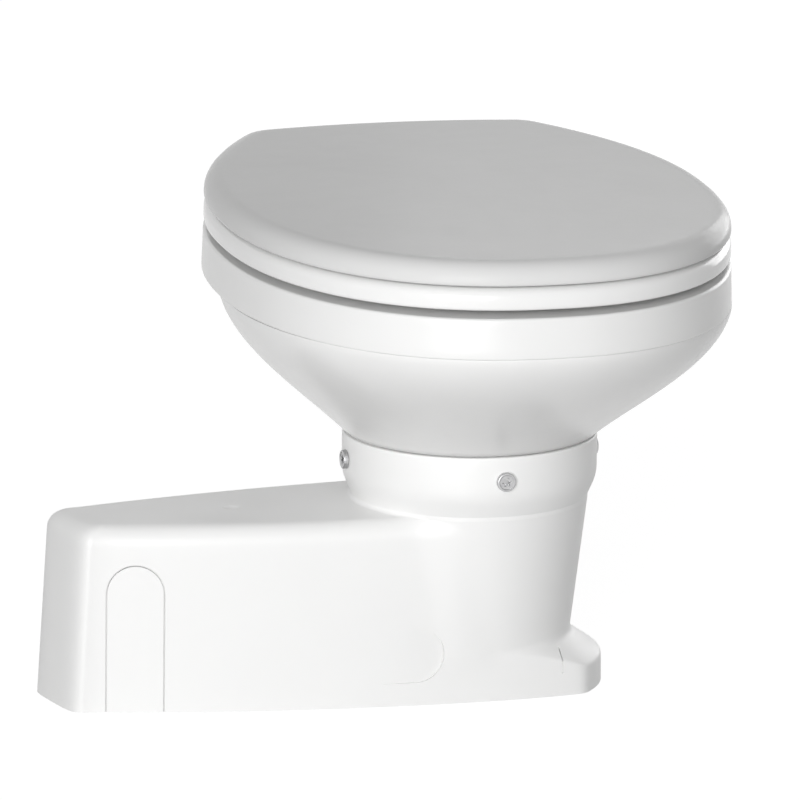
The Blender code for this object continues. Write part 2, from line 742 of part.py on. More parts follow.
def pedestal_points(angle, spread):
    """The pedestal and collar above the box's top, with the corner round where the flat top meets the cone."""
    corner = TOP_CORNER_ROUND
    rows = [
        (pedestal_radius(BOX_HEIGHT) + corner * spread, BOX_HEIGHT + corner * 0.2 * (1.0 - spread)),
        (pedestal_radius(BOX_HEIGHT) + corner * 0.3 * spread, BOX_HEIGHT + corner * 0.4),
        (pedestal_radius(BOX_HEIGHT + corner), BOX_HEIGHT + corner),
        (PEDESTAL_TOP_RADIUS, PEDESTAL_TOP_HEIGHT),
        (COLLAR_RADIUS, COLLAR_START),
        (COLLAR_RADIUS, COLLAR_TOP),
    ]
    return [(radius * math.cos(angle), radius * math.sin(angle), height) for radius, height in rows]


def shell_foot_profile(angle):
    """Points of the shell at one angle round the foot, from the floor to the collar's top."""
    outer = foot_radius(angle)
    ledge = foot_ledge(outer)
    fillet_start = BOX_HEIGHT - BOX_EDGE_RADIUS
    lower = PEDESTAL_FOOT_HEIGHT + PEDESTAL_FOOT_ROUND
    edge = outer - draft(ledge)
    rows = [
        (outer, 0.0),
        (outer - draft(ledge - 2.0 * FOOT_EDGE_ROUND), ledge - 2.0 * FOOT_EDGE_ROUND),
        (edge, ledge),
        (PEDESTAL_FOOT_RADIUS, PEDESTAL_FOOT_HEIGHT),
        (pedestal_radius(lower), lower),
    ]
    rows.append((pedestal_radius((lower + fillet_start) / 2.0), (lower + fillet_start) / 2.0))
    for turn in FILLET_ANGLES:
        height = fillet_start + BOX_EDGE_RADIUS * math.sin(math.radians(turn))
        rows.append((pedestal_radius(height), height))
    points = [(radius * math.cos(angle), radius * math.sin(angle), height) for radius, height in rows]
    return points + pedestal_points(angle, 0.0)


def shell_half():
    """Profiles of the shell's half at +Y, from the middle of the box's end round to the foot's tip."""
    stations = [i / (END_STATIONS - 1) for i in range(END_STATIONS)]
    stations += [1.0 + ((i + 1) / SIDE_STATIONS) ** SIDE_SPACING_SHARE for i in range(SIDE_STATIONS)]
    plain = [shell_side_profile(station, None) for station in stations]
    reach = pedestal_radius(BOX_HEIGHT) + 1.6 * TOP_CORNER_ROUND
    edges = [points[FILLET_END_ROW] for points in plain]
    meeting = next(i for i, (x, y, _) in enumerate(edges) if math.hypot(x, y) < reach)
    meeting_angle = math.atan2(edges[meeting][1], edges[meeting][0])
    profiles = []
    for i, station in enumerate(stations):
        if i < meeting:
            turn = meeting_angle + (math.pi - meeting_angle) * (1.0 - i / meeting)
            profiles.append(shell_side_profile(station, turn))
        else:
            profiles.append(plain[i])
    corner = foot_corner_angle()
    before = max(round(FOOT_STATIONS * (math.pi / 2.0 - corner) / (math.pi / 2.0)), 2)
    after = FOOT_STATIONS - before
    angles = [math.pi / 2.0 + (corner - math.pi / 2.0) * (i + 1) / before for i in range(before)]
    angles += [corner * (1.0 - (i + 1) / after) for i in range(after)]
    profiles += [shell_foot_profile(angle) for angle in angles]
    return profiles


def make_base_shell():
    """The shell: a loft over profiles all round the box, pedestal and foot, with its wall put inside it."""
    half = shell_half()
    profiles = half + [[(x, -y, z) for x, y, z in points] for points in reversed(half[1:-1])]
    maker = bmesh.new()
    columns = [[maker.verts.new(slanted(*point)) for point in points] for points in profiles]
    for left, right in zip(columns, columns[1:] + columns[:1]):
        for row in range(len(left) - 1):
            maker.faces.new((left[row], left[row + 1], right[row + 1], right[row]))
    bmesh.ops.recalc_face_normals(maker, faces=maker.faces)
    if maker.faces[:][0].normal.x > 0.0:
        bmesh.ops.reverse_faces(maker, faces=maker.faces)
    shell = own(mesh_object("base_shell", maker, 42.0), WHITE_PLASTIC)
    wall = shell.modifiers.new("wall", "SOLIDIFY")
    wall.thickness = SHELL_WALL
    wall.offset = -1.0
    cut(shell, *port_grooves(), *side_pads(), *foot_slits(), top_dimple(), *clamp_holes(), rinse_hole())
    return shell


def arch(width, height, steps=8):
    """Outline of an arch that stands on the origin, run on below it."""
    half = width / 2.0
    points = [(-half, -OVERRUN), (half, -OVERRUN)]
    for i in range(steps + 1):
        turn = math.pi * i / steps
        points.append((half * math.cos(turn), height - half + half * math.sin(turn)))
    return points


def port_grooves():
    """Cutters for the grooves that outline a hose port in each side wall."""
    cutters = []
    for side, name in ((-1.0, "front"), (1.0, "back")):
        wall, turn = wall_place(-PORT_PLACE, side)
        outer = arch(PORT_WIDTH + GROOVE_WIDTH, PORT_HEIGHT + GROOVE_WIDTH / 2.0)
        inner = arch(PORT_WIDTH - GROOVE_WIDTH, PORT_HEIGHT - GROOVE_WIDTH / 2.0)
        outline = outer[1:] + [outer[0]]
        hole = [(x, y) for x, y in inner]
        hole[0] = (hole[0][0], -OVERRUN * 2.0)
        hole[1] = (hole[1][0], -OVERRUN * 2.0)
        whole = extruded("groove_outer_" + name, [outline], 2.0 * GROOVE_DEPTH, Matrix.Identity(4))
        middle = extruded("groove_inner_" + name, [hole], 4.0 * GROOVE_DEPTH, Matrix.Identity(4))
        lean = math.radians(DRAFT_ANGLE)
        place = (Matrix.Translation(wall)
                 @ Matrix.Rotation(turn, 4, "Z")
                 @ Matrix.Rotation(side * lean, 4, "X")
                 @ Matrix.Rotation(math.pi / 2.0, 4, "X"))
        for obj in (whole, middle):
            obj.matrix_world = place
            tool(obj)
        cutters.append(cut(whole, middle))
    return cutters


def side_pads():
    """Cutters for the flat upright pad in each side wall, which runs out where the wall leans in behind it."""
    cutters = []
    for side, name in ((-1.0, "front"), (1.0, "back")):
        points = []
        steps = 10
        for i in range(steps + 1):
            turn = -math.pi / 2.0 + math.pi * i / steps
            points.append((PAD_RADIUS * math.cos(turn), PAD_RADIUS * math.sin(turn)))
        points += [(-PAD_LENGTH, PAD_RADIUS), (-PAD_LENGTH, -PAD_RADIUS)]
        pad = extruded("pad_" + name, [points], OVERRUN, Matrix.Identity(4))
        pad.matrix_world = (Matrix.Translation((-PAD_PLACE, side * (PAD_PLANE + OVERRUN / 2.0), PAD_HEIGHT))
                            @ Matrix.Rotation(math.pi / 2.0, 4, "X"))
        cutters.append(tool(pad))
    return cutters


def foot_slits():
    """Cutters for the narrow slit down each side of the foot, over the lug that the shell clips on."""
    cutters = []
    side_wall = side_half_width(SLIT_PLACE) - draft(FOOT_EDGE_HEIGHT)
    inner = side_wall - SLIT_REACH
    for side, name in ((-1.0, "front"), (1.0, "back")):
        edge = foot_ledge(math.hypot(SLIT_PLACE, side_wall))
        top = foot_ledge(math.hypot(SLIT_PLACE, inner))
        points = [
            (side_wall + OVERRUN, SLIT_BOTTOM),
            (side_wall + OVERRUN, top + OVERRUN),
            (inner, top + OVERRUN),
            (inner, top - SLIT_DEPTH),
            (side_wall - SLIT_DEPTH, edge - SLIT_DEPTH),
            (side_wall - SLIT_DEPTH, SLIT_BOTTOM),
        ]
        slit = extruded("slit_" + name, [points], SLIT_WIDTH, Matrix.Identity(4))
        slit.matrix_world = (Matrix.Translation((SLIT_PLACE, 0.0, 0.0))
                             @ Matrix.Diagonal((1.0, side, 1.0, 1.0))
                             @ Matrix.Rotation(math.pi / 2.0, 4, "Z")
                             @ Matrix.Rotation(math.pi / 2.0, 4, "X"))
        cutters.append(tool(slit))
    return cutters


def top_dimple():
    return tool(disc("dimple", DIMPLE_RADIUS, BOX_HEIGHT - DIMPLE_DEPTH, BOX_HEIGHT + OVERRUN, SMALL_STEPS,
                     centre=(-DIMPLE_PLACE, 0.0, 0.0)))


def clamp_holes():
    """Cutters for the four screw holes round the collar."""
    radius = CLAMP_SHANK_RADIUS + RUNNING_GAP
    return [tool(disc("clamp_hole_%d" % i, radius, COLLAR_RADIUS - SHELL_WALL - OVERRUN, COLLAR_RADIUS + OVERRUN,
                      SMALL_STEPS, centre=(0.0, 0.0, CLAMP_HEIGHT), rotation=(math.pi / 2.0, 0.0, i * math.pi / 2.0)))
            for i in range(4)]


def rinse_hole():
    return tool(disc("rinse_hole", RINSE_HOLE_RADIUS, -pedestal_radius(RINSE_HEIGHT) - OVERRUN,
                     -pedestal_radius(RINSE_HEIGHT) + SHELL_WALL + OVERRUN, SMALL_STEPS,
                     centre=(0.0, 0.0, RINSE_HEIGHT), rotation=(math.pi / 2.0, 0.0, 0.0)))


def make_clamp_screws():
    """Four screws whose tips grip the bowl's foot ring through the collar."""
    head = COLLAR_RADIUS + TOUCH_GAP
    tip = FOOT_RING_RADIUS + TOUCH_GAP
    profile = [
        (0.0, head + CLAMP_HEAD_HEIGHT - CLAMP_DISH_DEPTH),
        (CLAMP_DISH_RADIUS, head + CLAMP_HEAD_HEIGHT - CLAMP_DISH_DEPTH),
        (CLAMP_DISH_RADIUS + CLAMP_DISH_DEPTH, head + CLAMP_HEAD_HEIGHT),
        (CLAMP_HEAD_RADIUS - CLAMP_HEAD_EDGE, head + CLAMP_HEAD_HEIGHT),
        (CLAMP_HEAD_RADIUS, head + CLAMP_HEAD_HEIGHT - CLAMP_HEAD_EDGE),
        (CLAMP_HEAD_RADIUS, head),
        (CLAMP_SHANK_RADIUS, head),
        (CLAMP_SHANK_RADIUS, tip + CLAMP_SHANK_RADIUS / 2.0),
        (CLAMP_SHANK_RADIUS / 2.0, tip),
        (0.0, tip),
    ]
    for i, name in enumerate(("front", "right", "back", "left")):
        rotation = (math.pi / 2.0, 0.0, i * math.pi / 2.0)
        centre = (0.0, 0.0, CLAMP_HEIGHT)
        screw = own(turned("clamp_screw_" + name, profile, SCREW_STEPS, centre, rotation), STEEL)
        star = []
        for point in range(12):
            radius = CLAMP_RECESS_RADIUS if point % 2 == 0 else CLAMP_RECESS_RADIUS * 0.62
            turn = math.pi * point / 6.0
            star.append((radius * math.cos(turn), radius * math.sin(turn)))
        recess = extruded("recess_" + name, [star], 2.0 * CLAMP_RECESS_DEPTH, Matrix.Identity(4))
        recess.matrix_world = (Matrix.Translation(centre) @ Matrix.Rotation(i * math.pi / 2.0, 4, "Z")
                               @ Matrix.Rotation(math.pi / 2.0, 4, "X")
                               @ Matrix.Translation((0.0, 0.0, head + CLAMP_HEAD_HEIGHT - CLAMP_DISH_DEPTH)))
        cut(screw, tool(recess))


# Bowl, seat and lid

def outline_half(growth=0.0, extra_back=0.0):
    """Right half of the D-shaped outline from the front tip to the middle of the back, grown outwards."""
    half_width = OUTLINE_HALF_WIDTH + growth
    front = OUTLINE_FRONT + growth
    length = OUTLINE_CORNER + growth - OUTLINE_WIDEST
    end_share = 1.0 + extra_back / length
    draw_in = half_width - OUTLINE_CORNER_HALF_WIDTH - growth
    corner_x = half_width - draw_in * end_share ** OUTLINE_SIDE_EXPONENT
    corner_y = OUTLINE_WIDEST + length * end_share
    points = []
    for i in range(OUTLINE_FRONT_STATIONS):
        turn = math.pi / 2.0 * i / OUTLINE_FRONT_STATIONS
        x = half_width * math.sin(turn) ** (2.0 / OUTLINE_EXPONENT)
        y = OUTLINE_WIDEST - front * math.cos(turn) ** (2.0 / OUTLINE_EXPONENT)
        points.append((x, y))
    for i in range(OUTLINE_SIDE_STATIONS):
        share = OUTLINE_SIDE_END_SHARE * end_share * i / (OUTLINE_SIDE_STATIONS - 1)
        y = OUTLINE_WIDEST + length * share
        x = half_width - draw_in * share ** OUTLINE_SIDE_EXPONENT
        points.append((x, y))
    rounding = (1.0 - OUTLINE_BACK_END_SHARE) * corner_x
    across_share, along_share = OUTLINE_CORNER_SHARES
    points.append((corner_x - rounding * across_share, corner_y - rounding * along_share))
    for i in range(OUTLINE_BACK_STATIONS + 1):
        share = OUTLINE_BACK_END_SHARE * (1.0 - i / OUTLINE_BACK_STATIONS)
        x = corner_x * share
        points.append((x, corner_y + OUTLINE_BACK_BULGE * (1.0 - share * share)))
    return points


def whole_outline(half):
    """Both halves of an outline, as one loop, seen from above and against the clock."""
    right = list(half)
    left = [(-x, y) for x, y in reversed(right[1:-1])]
    return right + left


def outline_ring(growth, height, extra_back=0.0):
    return [(x, y, height) for x, y in whole_outline(outline_half(growth, extra_back))]


def outline_angles():
    return [math.atan2(y, x) for x, y in whole_outline(outline_half())]


def oval_ring(half_width, half_length, centre, height, exponent=2.15):
    """An oval ring whose points lie at the same angles round its centre as the outline's do."""
    points = []
    for x, y in whole_outline(outline_half()):
        turn = math.atan2(y - centre, x)
        reach = (abs(math.cos(turn) / half_width) ** exponent
                 + abs(math.sin(turn) / half_length) ** exponent) ** (-1.0 / exponent)
        points.append((reach * math.cos(turn), centre + reach * math.sin(turn), height))
    return points


def circle_ring(radius, height):
    return [(radius * math.cos(turn), radius * math.sin(turn), height) for turn in outline_angles()]


def mixed(first, second, share, height):
    """A ring between two rings, at this height."""
    return [(a[0] + (b[0] - a[0]) * share, a[1] + (b[1] - a[1]) * share, height) for a, b in zip(first, second)]


def drawn_in(points, depth):
    """A ring moved towards the axis by the depth."""
    moved = []
    for x, y, z in points:
        reach = math.hypot(x, y)
        moved.append((x * (reach - depth) / reach, y * (reach - depth) / reach, z))
    return moved


def underside_ring(share):
    """A ring of the bowl's outside between the rim's oval and the round foot, by the share of the way down."""
    centre = (UNDERSIDE_BACK - UNDERSIDE_FRONT) / 2.0
    top = oval_ring(UNDERSIDE_HALF_WIDTH, (UNDERSIDE_BACK + UNDERSIDE_FRONT) / 2.0, centre, 0.0, UNDERSIDE_EXPONENT)
    foot = circle_ring(UNDERSIDE_BOTTOM_RADIUS, 0.0)
    start = RIM_BOTTOM - RIM_STEP_HEIGHT
    height = start + (UNDERSIDE_BOTTOM - start) * share
    slope, belly = UNDERSIDE_TOP_SLOPE_SHARE, UNDERSIDE_BELLY_SHARE
    drawn = share * (slope + share * (belly + share * (1.0 - slope - belly)))
    return mixed(top, foot, drawn, height)


def make_bowl(axis):
    """The ceramic bowl: a skin from the rim down the outside to the foot, and up the inside from the spigot."""
    rounding = RIM_EDGE_ROUND
    rings = []
    rings.append(outline_ring(RIM_TOP_GROWTH - rounding, RIM_TOP, SHELF_EXTRA))
    rings.append(outline_ring(RIM_TOP_GROWTH - rounding * 0.3, RIM_TOP - rounding * 0.3, SHELF_EXTRA))
    rings.append(outline_ring(RIM_TOP_GROWTH, RIM_TOP - rounding, SHELF_EXTRA))
    rings.append(outline_ring(RIM_BOTTOM_GROWTH, RIM_BOTTOM + rounding / 3.0, SHELF_EXTRA))
    rings.append(outline_ring(RIM_BOTTOM_GROWTH - rounding / 3.0, RIM_BOTTOM, SHELF_EXTRA))
    rings.append([(x, y, RIM_BOTTOM) for x, y, _ in underside_ring(0.0)])
    rings += [underside_ring(share) for share in OUTSIDE_SHARES]
    foot_top = UNDERSIDE_BOTTOM - (UNDERSIDE_BOTTOM_RADIUS - FOOT_RING_RADIUS) * FOOT_SLOPE_SHARE
    rings.append(circle_ring(FOOT_RING_RADIUS, foot_top))
    rings.append(circle_ring(FOOT_RING_RADIUS, FOOT_RING_BOTTOM))
    rings.append(circle_ring(FOOT_RING_RADIUS - FOOT_RING_WALL, FOOT_RING_BOTTOM))
    rings.append(circle_ring(FOOT_RING_RADIUS - FOOT_RING_WALL, THROAT_HEIGHT))
    rings.append(circle_ring(THROAT_RADIUS + SPIGOT_WALL, THROAT_HEIGHT - SPIGOT_WALL))
    rings.append(circle_ring(THROAT_RADIUS + SPIGOT_WALL, SPIGOT_BOTTOM))
    rings.append(circle_ring(THROAT_RADIUS, SPIGOT_BOTTOM))
    rings.append(circle_ring(THROAT_RADIUS, THROAT_HEIGHT))
    rings.append(circle_ring(THROAT_RADIUS + SPIGOT_WALL, BOWL_FLOOR))
    inner = [drawn_in(underside_ring(share), BOWL_WALL) for share in INSIDE_SHARES]
    dish_share, dish_rise_share, floor_rise_share = DISH_SHARES
    low = [(x, y, z + BOWL_WALL * floor_rise_share) for x, y, z in inner[0]]
    throat = circle_ring(THROAT_RADIUS + SPIGOT_WALL, 0.0)
    rings.append(mixed(throat, low, dish_share, BOWL_FLOOR + BOWL_WALL * dish_rise_share))
    rings.append(low)
    rings += inner[1:]
    half_width, half_length = RIM_OPENING_HALF_WIDTH, RIM_OPENING_HALF_LENGTH
    rings.append(drawn_in(underside_ring(0.0), BOWL_WALL * 2.0))
    rings[-1] = [(x, y, RIM_LIP_BOTTOM) for x, y, _ in rings[-1]]
    rings.append(oval_ring(half_width + rounding, half_length + rounding, OPENING_CENTRE, RIM_LIP_BOTTOM))
    rings.append(oval_ring(half_width, half_length, OPENING_CENTRE, RIM_LIP_BOTTOM + rounding))
    rings.append(oval_ring(half_width, half_length, OPENING_CENTRE, RIM_TOP - rounding))
    rings.append(oval_ring(half_width + rounding, half_length + rounding, OPENING_CENTRE, RIM_TOP))
    bowl = own(lofted("bowl", rings, closed_loop=True, smooth_angle=40.0), CERAMIC, axis)

    boss = tool(disc("inlet_boss", BOSS_RADIUS, -BOSS_END, -BOSS_START, LARGE_STEPS,
                     centre=(0.0, 0.0, INLET_HEIGHT), rotation=(math.pi / 2.0, 0.0, 0.0)), axis)
    inlet = tool(disc("inlet_bore", INLET_RADIUS, -BOSS_END - OVERRUN, -BOSS_START + OVERRUN, MEDIUM_STEPS,
                      centre=(0.0, 0.0, INLET_HEIGHT), rotation=(math.pi / 2.0, 0.0, 0.0)), axis)
    back = OUTLINE_CORNER + OUTLINE_BACK_BULGE + SHELF_EXTRA + OVERRUN
    side = OUTLINE_HALF_WIDTH
    step = tool(block("shelf_step", (-side, SHELF_FRONT, RIM_TOP - SHELF_DROP), (side, back, RIM_TOP + OVERRUN)), axis)
    join(bowl, boss)
    cut(bowl, inlet, step)
    for side in (-1.0, 1.0):
        hole = disc("hinge_hole", BOLT_HOLE_RADIUS, RIM_BOTTOM - OVERRUN, RIM_TOP + OVERRUN, SMALL_STEPS,
                    centre=(side * HINGE_PLACE, HINGE_AXIS - BOLT_PLACE, 0.0))
        cut(bowl, tool(hole, axis))
    return bowl


def edge_rings(bottom, top, bottom_round, top_round, growth_ring):
    """Rings round an edge whose corners are rounded, from the bottom face up to the top face."""
    rings = []
    for turn in (0.0, 90.0):
        turn = math.radians(turn)
        rings.append(growth_ring(bottom_round * (math.sin(turn) - 1.0), bottom + bottom_round * (1.0 - math.cos(turn))))
    for turn in (0.0, 45.0, 90.0):
        turn = math.radians(turn)
        rings.append(growth_ring(top_round * (math.cos(turn) - 1.0), top - top_round * (1.0 - math.sin(turn))))
    return rings


def make_lid(axis, lid_axis):
    top = LID_BOTTOM + LID_THICKNESS
    rings = edge_rings(LID_BOTTOM, top, LID_BOTTOM_ROUND, LID_TOP_ROUND, outline_ring)
    crown = oval_ring(OUTLINE_HALF_WIDTH * 0.5, OUTLINE_FRONT * 0.5, OUTLINE_WIDEST, top + LID_CROWN)
    rings.append(crown)
    lid = own(lofted("lid", rings, closed_loop=False, caps=True), WHITE_ENAMEL, lid_axis)
    cut_strap_pockets(lid, axis, LID_BOTTOM, 1.0)
    return lid


def make_seat(axis, seat_axis):
    """The seat ring: the shared outline outside, an oval opening inside, and rounded edges all round."""
    top = SEAT_BOTTOM + SEAT_THICKNESS
    half_width, half_length = SEAT_OPENING_HALF_WIDTH, SEAT_OPENING_HALF_LENGTH

    def opening(growth, height):
        return oval_ring(half_width - growth, half_length - growth, OPENING_CENTRE, height)

    rings = edge_rings(SEAT_BOTTOM, top, SEAT_BOTTOM_ROUND, SEAT_TOP_ROUND, outline_ring)
    rings += reversed(edge_rings(SEAT_BOTTOM, top, SEAT_BOTTOM_ROUND, SEAT_TOP_ROUND, opening))
    seat = own(lofted("seat", rings, closed_loop=True), WHITE_ENAMEL, seat_axis)
    cut_strap_pockets(seat, axis, SEAT_BOTTOM, -1.0)
    return seat


def strap_place(side, which):
    """Middle of a hinge knuckle across the bowl: the lid's lies outside the post and the seat's inside it."""
    offset = POST_WIDTH / 2.0 + HINGE_SIDE_GAP + KNUCKLE_WIDTH / 2.0
    return side * (HINGE_PLACE + which * offset)


def cut_strap_pockets(board, axis, bottom, which):
    """Pockets in a board's underside that take its two hinge straps."""
    for side in (-1.0, 1.0):
        middle = strap_place(side, which)
        half = KNUCKLE_WIDTH / 2.0 + STRAP_POCKET_GAP
        pocket = block("strap_pocket",
                       (middle - half, HINGE_AXIS - STRAP_FRONT - STRAP_POCKET_GAP, bottom - OVERRUN),
                       (middle + half, HINGE_AXIS, bottom + STRAP_THICKNESS + STRAP_POCKET_GAP))
        cut(board, tool(pocket, axis))


def strap_outline(bottom, strap_steps=10):
    """Side view of a hinge strap: a flat leaf under the board that rises to a knuckle round the pin."""
    rise = HINGE_HEIGHT - bottom
    points = [(-STRAP_FRONT, 0.0), (-STRAP_FRONT, STRAP_THICKNESS)]
    neck = KNUCKLE_RADIUS
    if rise > KNUCKLE_RADIUS:
        points.append((-neck, STRAP_THICKNESS))
        points.append((-neck, rise))
        start, end = math.pi, -math.pi / 2.0
        for i in range(1, strap_steps + 1):
            turn = start + (0.0 - start) * i / strap_steps
            points.append((neck * math.cos(turn), rise + neck * math.sin(turn)))
        points.append((neck, STRAP_THICKNESS))
        points.append((neck - STRAP_THICKNESS, 0.0))
    else:
        meet = math.acos(min((STRAP_THICKNESS - rise) / KNUCKLE_RADIUS, 1.0))
        start = math.pi / 2.0 + meet
        leave = math.acos(max(min(-rise / KNUCKLE_RADIUS, 1.0), -1.0))
        end = math.pi / 2.0 + leave - 2.0 * math.pi
        for i in range(strap_steps + 1):
            turn = start + (end - start) * i / strap_steps
            points.append((neck * math.cos(turn), rise + neck * math.sin(turn)))
    return points


def make_hinges(axis, seat_axis, lid_axis):
    """Two hinges, each a post on the bowl's shelf with the lid's knuckle outside it and the seat's inside it."""
    for side, name in ((-1.0, "left"), (1.0, "right")):
        make_hinge_post(side, name, axis)
        make_hinge_strap("lid_hinge_" + name, strap_place(side, 1.0), LID_BOTTOM, axis, lid_axis)
        make_hinge_strap("seat_hinge_" + name, strap_place(side, -1.0), SEAT_BOTTOM, axis, seat_axis)
        make_hinge_pin(side, name, axis)
        make_hinge_bolt(side, name, axis)


def make_hinge_strap(name, middle, bottom, axis, moving_axis):
    lift = TOUCH_GAP
    outline = strap_outline(bottom + lift)
    strap = extruded(name, [outline], KNUCKLE_WIDTH, Matrix.Identity(4))
    strap.matrix_world = upright_plane(middle, HINGE_AXIS, bottom + lift)
    own(strap, NYLON, moving_axis)
    bore = disc(name + "_bore", PIN_RADIUS + RUNNING_GAP, -KNUCKLE_WIDTH, KNUCKLE_WIDTH, SMALL_STEPS,
                centre=(middle, HINGE_AXIS, HINGE_HEIGHT), rotation=(0.0, math.pi / 2.0, 0.0))
    cut(strap, tool(bore, axis))


def upright_plane(x, y, z):
    """A plane whose own X is the bowl's Y and own Y is up, for outlines seen from the side."""
    return (Matrix.Translation((x, y, z)) @ Matrix.Rotation(math.pi / 2.0, 4, "Z")
            @ Matrix.Rotation(math.pi / 2.0, 4, "X"))


def make_hinge_post(side, name, axis):
    shelf = RIM_TOP - SHELF_DROP + TOUCH_GAP
    rise = HINGE_HEIGHT - shelf
    half = POST_DEPTH / 2.0
    plate = POST_PLATE_THICKNESS
    points = [(-POST_PLATE_FRONT, 0.0), (POST_PLATE_BACK, 0.0), (POST_PLATE_BACK, plate), (half, plate), (half, rise)]
    for i in range(1, 8):
        turn = math.pi * i / 8
        points.append((half * math.cos(turn), rise + half * math.sin(turn)))
    points += [(-half, rise), (-half, plate), (-POST_PLATE_FRONT, plate)]
    post = extruded("hinge_post_" + name, [points], POST_WIDTH, Matrix.Identity(4))
    post.matrix_world = upright_plane(side * HINGE_PLACE, HINGE_AXIS, shelf)
    own(post, NYLON, axis)
    wide = POST_PLATE_WIDTH / 2.0
    plate_block = block("post_plate_" + name,
                        (side * HINGE_PLACE - wide, HINGE_AXIS - POST_PLATE_FRONT, shelf),
                        (side * HINGE_PLACE + wide, HINGE_AXIS - half - TOUCH_GAP, shelf + plate))
    join(post, tool(plate_block, axis))
    bore = disc("post_bore_" + name, PIN_RADIUS + RUNNING_GAP, -POST_WIDTH, POST_WIDTH, SMALL_STEPS,
                centre=(side * HINGE_PLACE, HINGE_AXIS, HINGE_HEIGHT), rotation=(0.0, math.pi / 2.0, 0.0))
    hole = disc("post_bolt_hole_" + name, BOLT_RADIUS + RUNNING_GAP, shelf - OVERRUN, shelf + plate + OVERRUN,
                SMALL_STEPS, centre=(side * HINGE_PLACE, HINGE_AXIS - BOLT_PLACE, 0.0))
    cut(post, tool(bore, axis), tool(hole, axis))


def make_hinge_pin(side, name, axis):
    """A pin through both knuckles and the post, with a head at its outer end."""
    reach = POST_WIDTH / 2.0 + HINGE_SIDE_GAP + KNUCKLE_WIDTH
    outer = reach + HINGE_SIDE_GAP
    profile = [
        (0.0, outer + PIN_HEAD_WIDTH),
        (PIN_HEAD_RADIUS * 0.8, outer + PIN_HEAD_WIDTH),
        (PIN_HEAD_RADIUS, outer + PIN_HEAD_WIDTH * 0.6),
        (PIN_HEAD_RADIUS, outer),
        (PIN_RADIUS, outer),
        (PIN_RADIUS, -reach),
        (0.0, -reach),
    ]
    pin = turned("hinge_pin_" + name, profile, SMALL_STEPS, centre=(side * HINGE_PLACE, HINGE_AXIS, HINGE_HEIGHT),
                 rotation=(0.0, side * math.pi / 2.0, 0.0))
    own(pin, STEEL, axis)


def make_hinge_bolt(side, name, axis):
    """The bolt that holds a post down through the shelf, with a rubber washer and a wing nut below."""
    place = (side * HINGE_PLACE, HINGE_AXIS - BOLT_PLACE, 0.0)
    seat_face = RIM_TOP - SHELF_DROP + TOUCH_GAP + POST_PLATE_THICKNESS + TOUCH_GAP
    profile = [
        (0.0, seat_face + BOLT_HEAD_HEIGHT),
        (BOLT_HEAD_RADIUS * 0.7, seat_face + BOLT_HEAD_HEIGHT),
        (BOLT_HEAD_RADIUS, seat_face + BOLT_HEAD_HEIGHT * 0.4),
        (BOLT_HEAD_RADIUS, seat_face),
        (BOLT_RADIUS, seat_face),
        (BOLT_RADIUS, seat_face - BOLT_LENGTH),
        (0.0, seat_face - BOLT_LENGTH),
    ]
    own(turned("hinge_bolt_" + name, profile, SMALL_STEPS, place), STEEL, axis)
    under = RIM_BOTTOM - TOUCH_GAP
    bore = BOLT_RADIUS + RUNNING_GAP
    washer = ring("hinge_washer_" + name, bore, WASHER_RADIUS, under - WASHER_THICKNESS, under, SMALL_STEPS, place)
    own(washer, RUBBER, axis)
    top = under - WASHER_THICKNESS - TOUCH_GAP
    nut = ring("wing_nut_" + name, bore, NUT_RADIUS, top - NUT_HEIGHT, top, SMALL_STEPS, place)
    own(nut, NYLON, axis)
    for wing in (-1.0, 1.0):
        inner = place[0] + wing * (NUT_RADIUS - NUT_WING_THICKNESS / 2.0)
        outer = place[0] + wing * NUT_WING_REACH
        half = NUT_WING_THICKNESS / 2.0
        blade = block("wing", (min(inner, outer), place[1] - half, top - NUT_WING_HEIGHT),
                      (max(inner, outer), place[1] + half, top - TOUCH_GAP))
        join(nut, tool(blade, axis))


def make_buffers(seat_axis, lid_axis):
    """Rubber buffers: four under the seat that stand on the rim, and two under the lid's front."""
    for side, name in ((-1.0, "left"), (1.0, "right")):
        for (x_share, y_share), end in zip(SEAT_BUFFER_PLACE_SHARES, ("front", "back")):
            x, y = buffer_place(side, x_share, y_share, end)
            lower = RIM_TOP + SEAT_BUFFER_GAP
            upper = SEAT_BOTTOM - TOUCH_GAP
            profile = [(0.0, upper), (BUFFER_RADIUS, upper), (BUFFER_RADIUS * 0.85, lower), (0.0, lower)]
            buffer = turned("seat_buffer_%s_%s" % (end, name), profile, SMALL_STEPS, (x, y, 0.0))
            own(buffer, WHITE_RUBBER, seat_axis)
        x, y = buffer_place(side, *LID_BUFFER_PLACE_SHARES, "front")
        lower = SEAT_BOTTOM + SEAT_THICKNESS + TOUCH_GAP
        upper = LID_BOTTOM - TOUCH_GAP
        profile = [(0.0, upper), (LID_BUFFER_RADIUS, upper), (LID_BUFFER_RADIUS * 0.9, lower), (0.0, lower)]
        own(turned("lid_buffer_" + name, profile, SMALL_STEPS, (x, y, 0.0)), WHITE_RUBBER, lid_axis)


def buffer_place(side, x_share, y_share, end):
    """A place on the seat ring, by shares of the outline's half width and length."""
    x = side * OUTLINE_HALF_WIDTH * x_share
    if end == "front":
        return x, OUTLINE_WIDEST - OUTLINE_FRONT * y_share - OUTLINE_HALF_WIDTH * 0.10
    return x, OUTLINE_WIDEST + OUTLINE_CORNER * (0.42 + y_share)


# Mounting plate, sump and seals

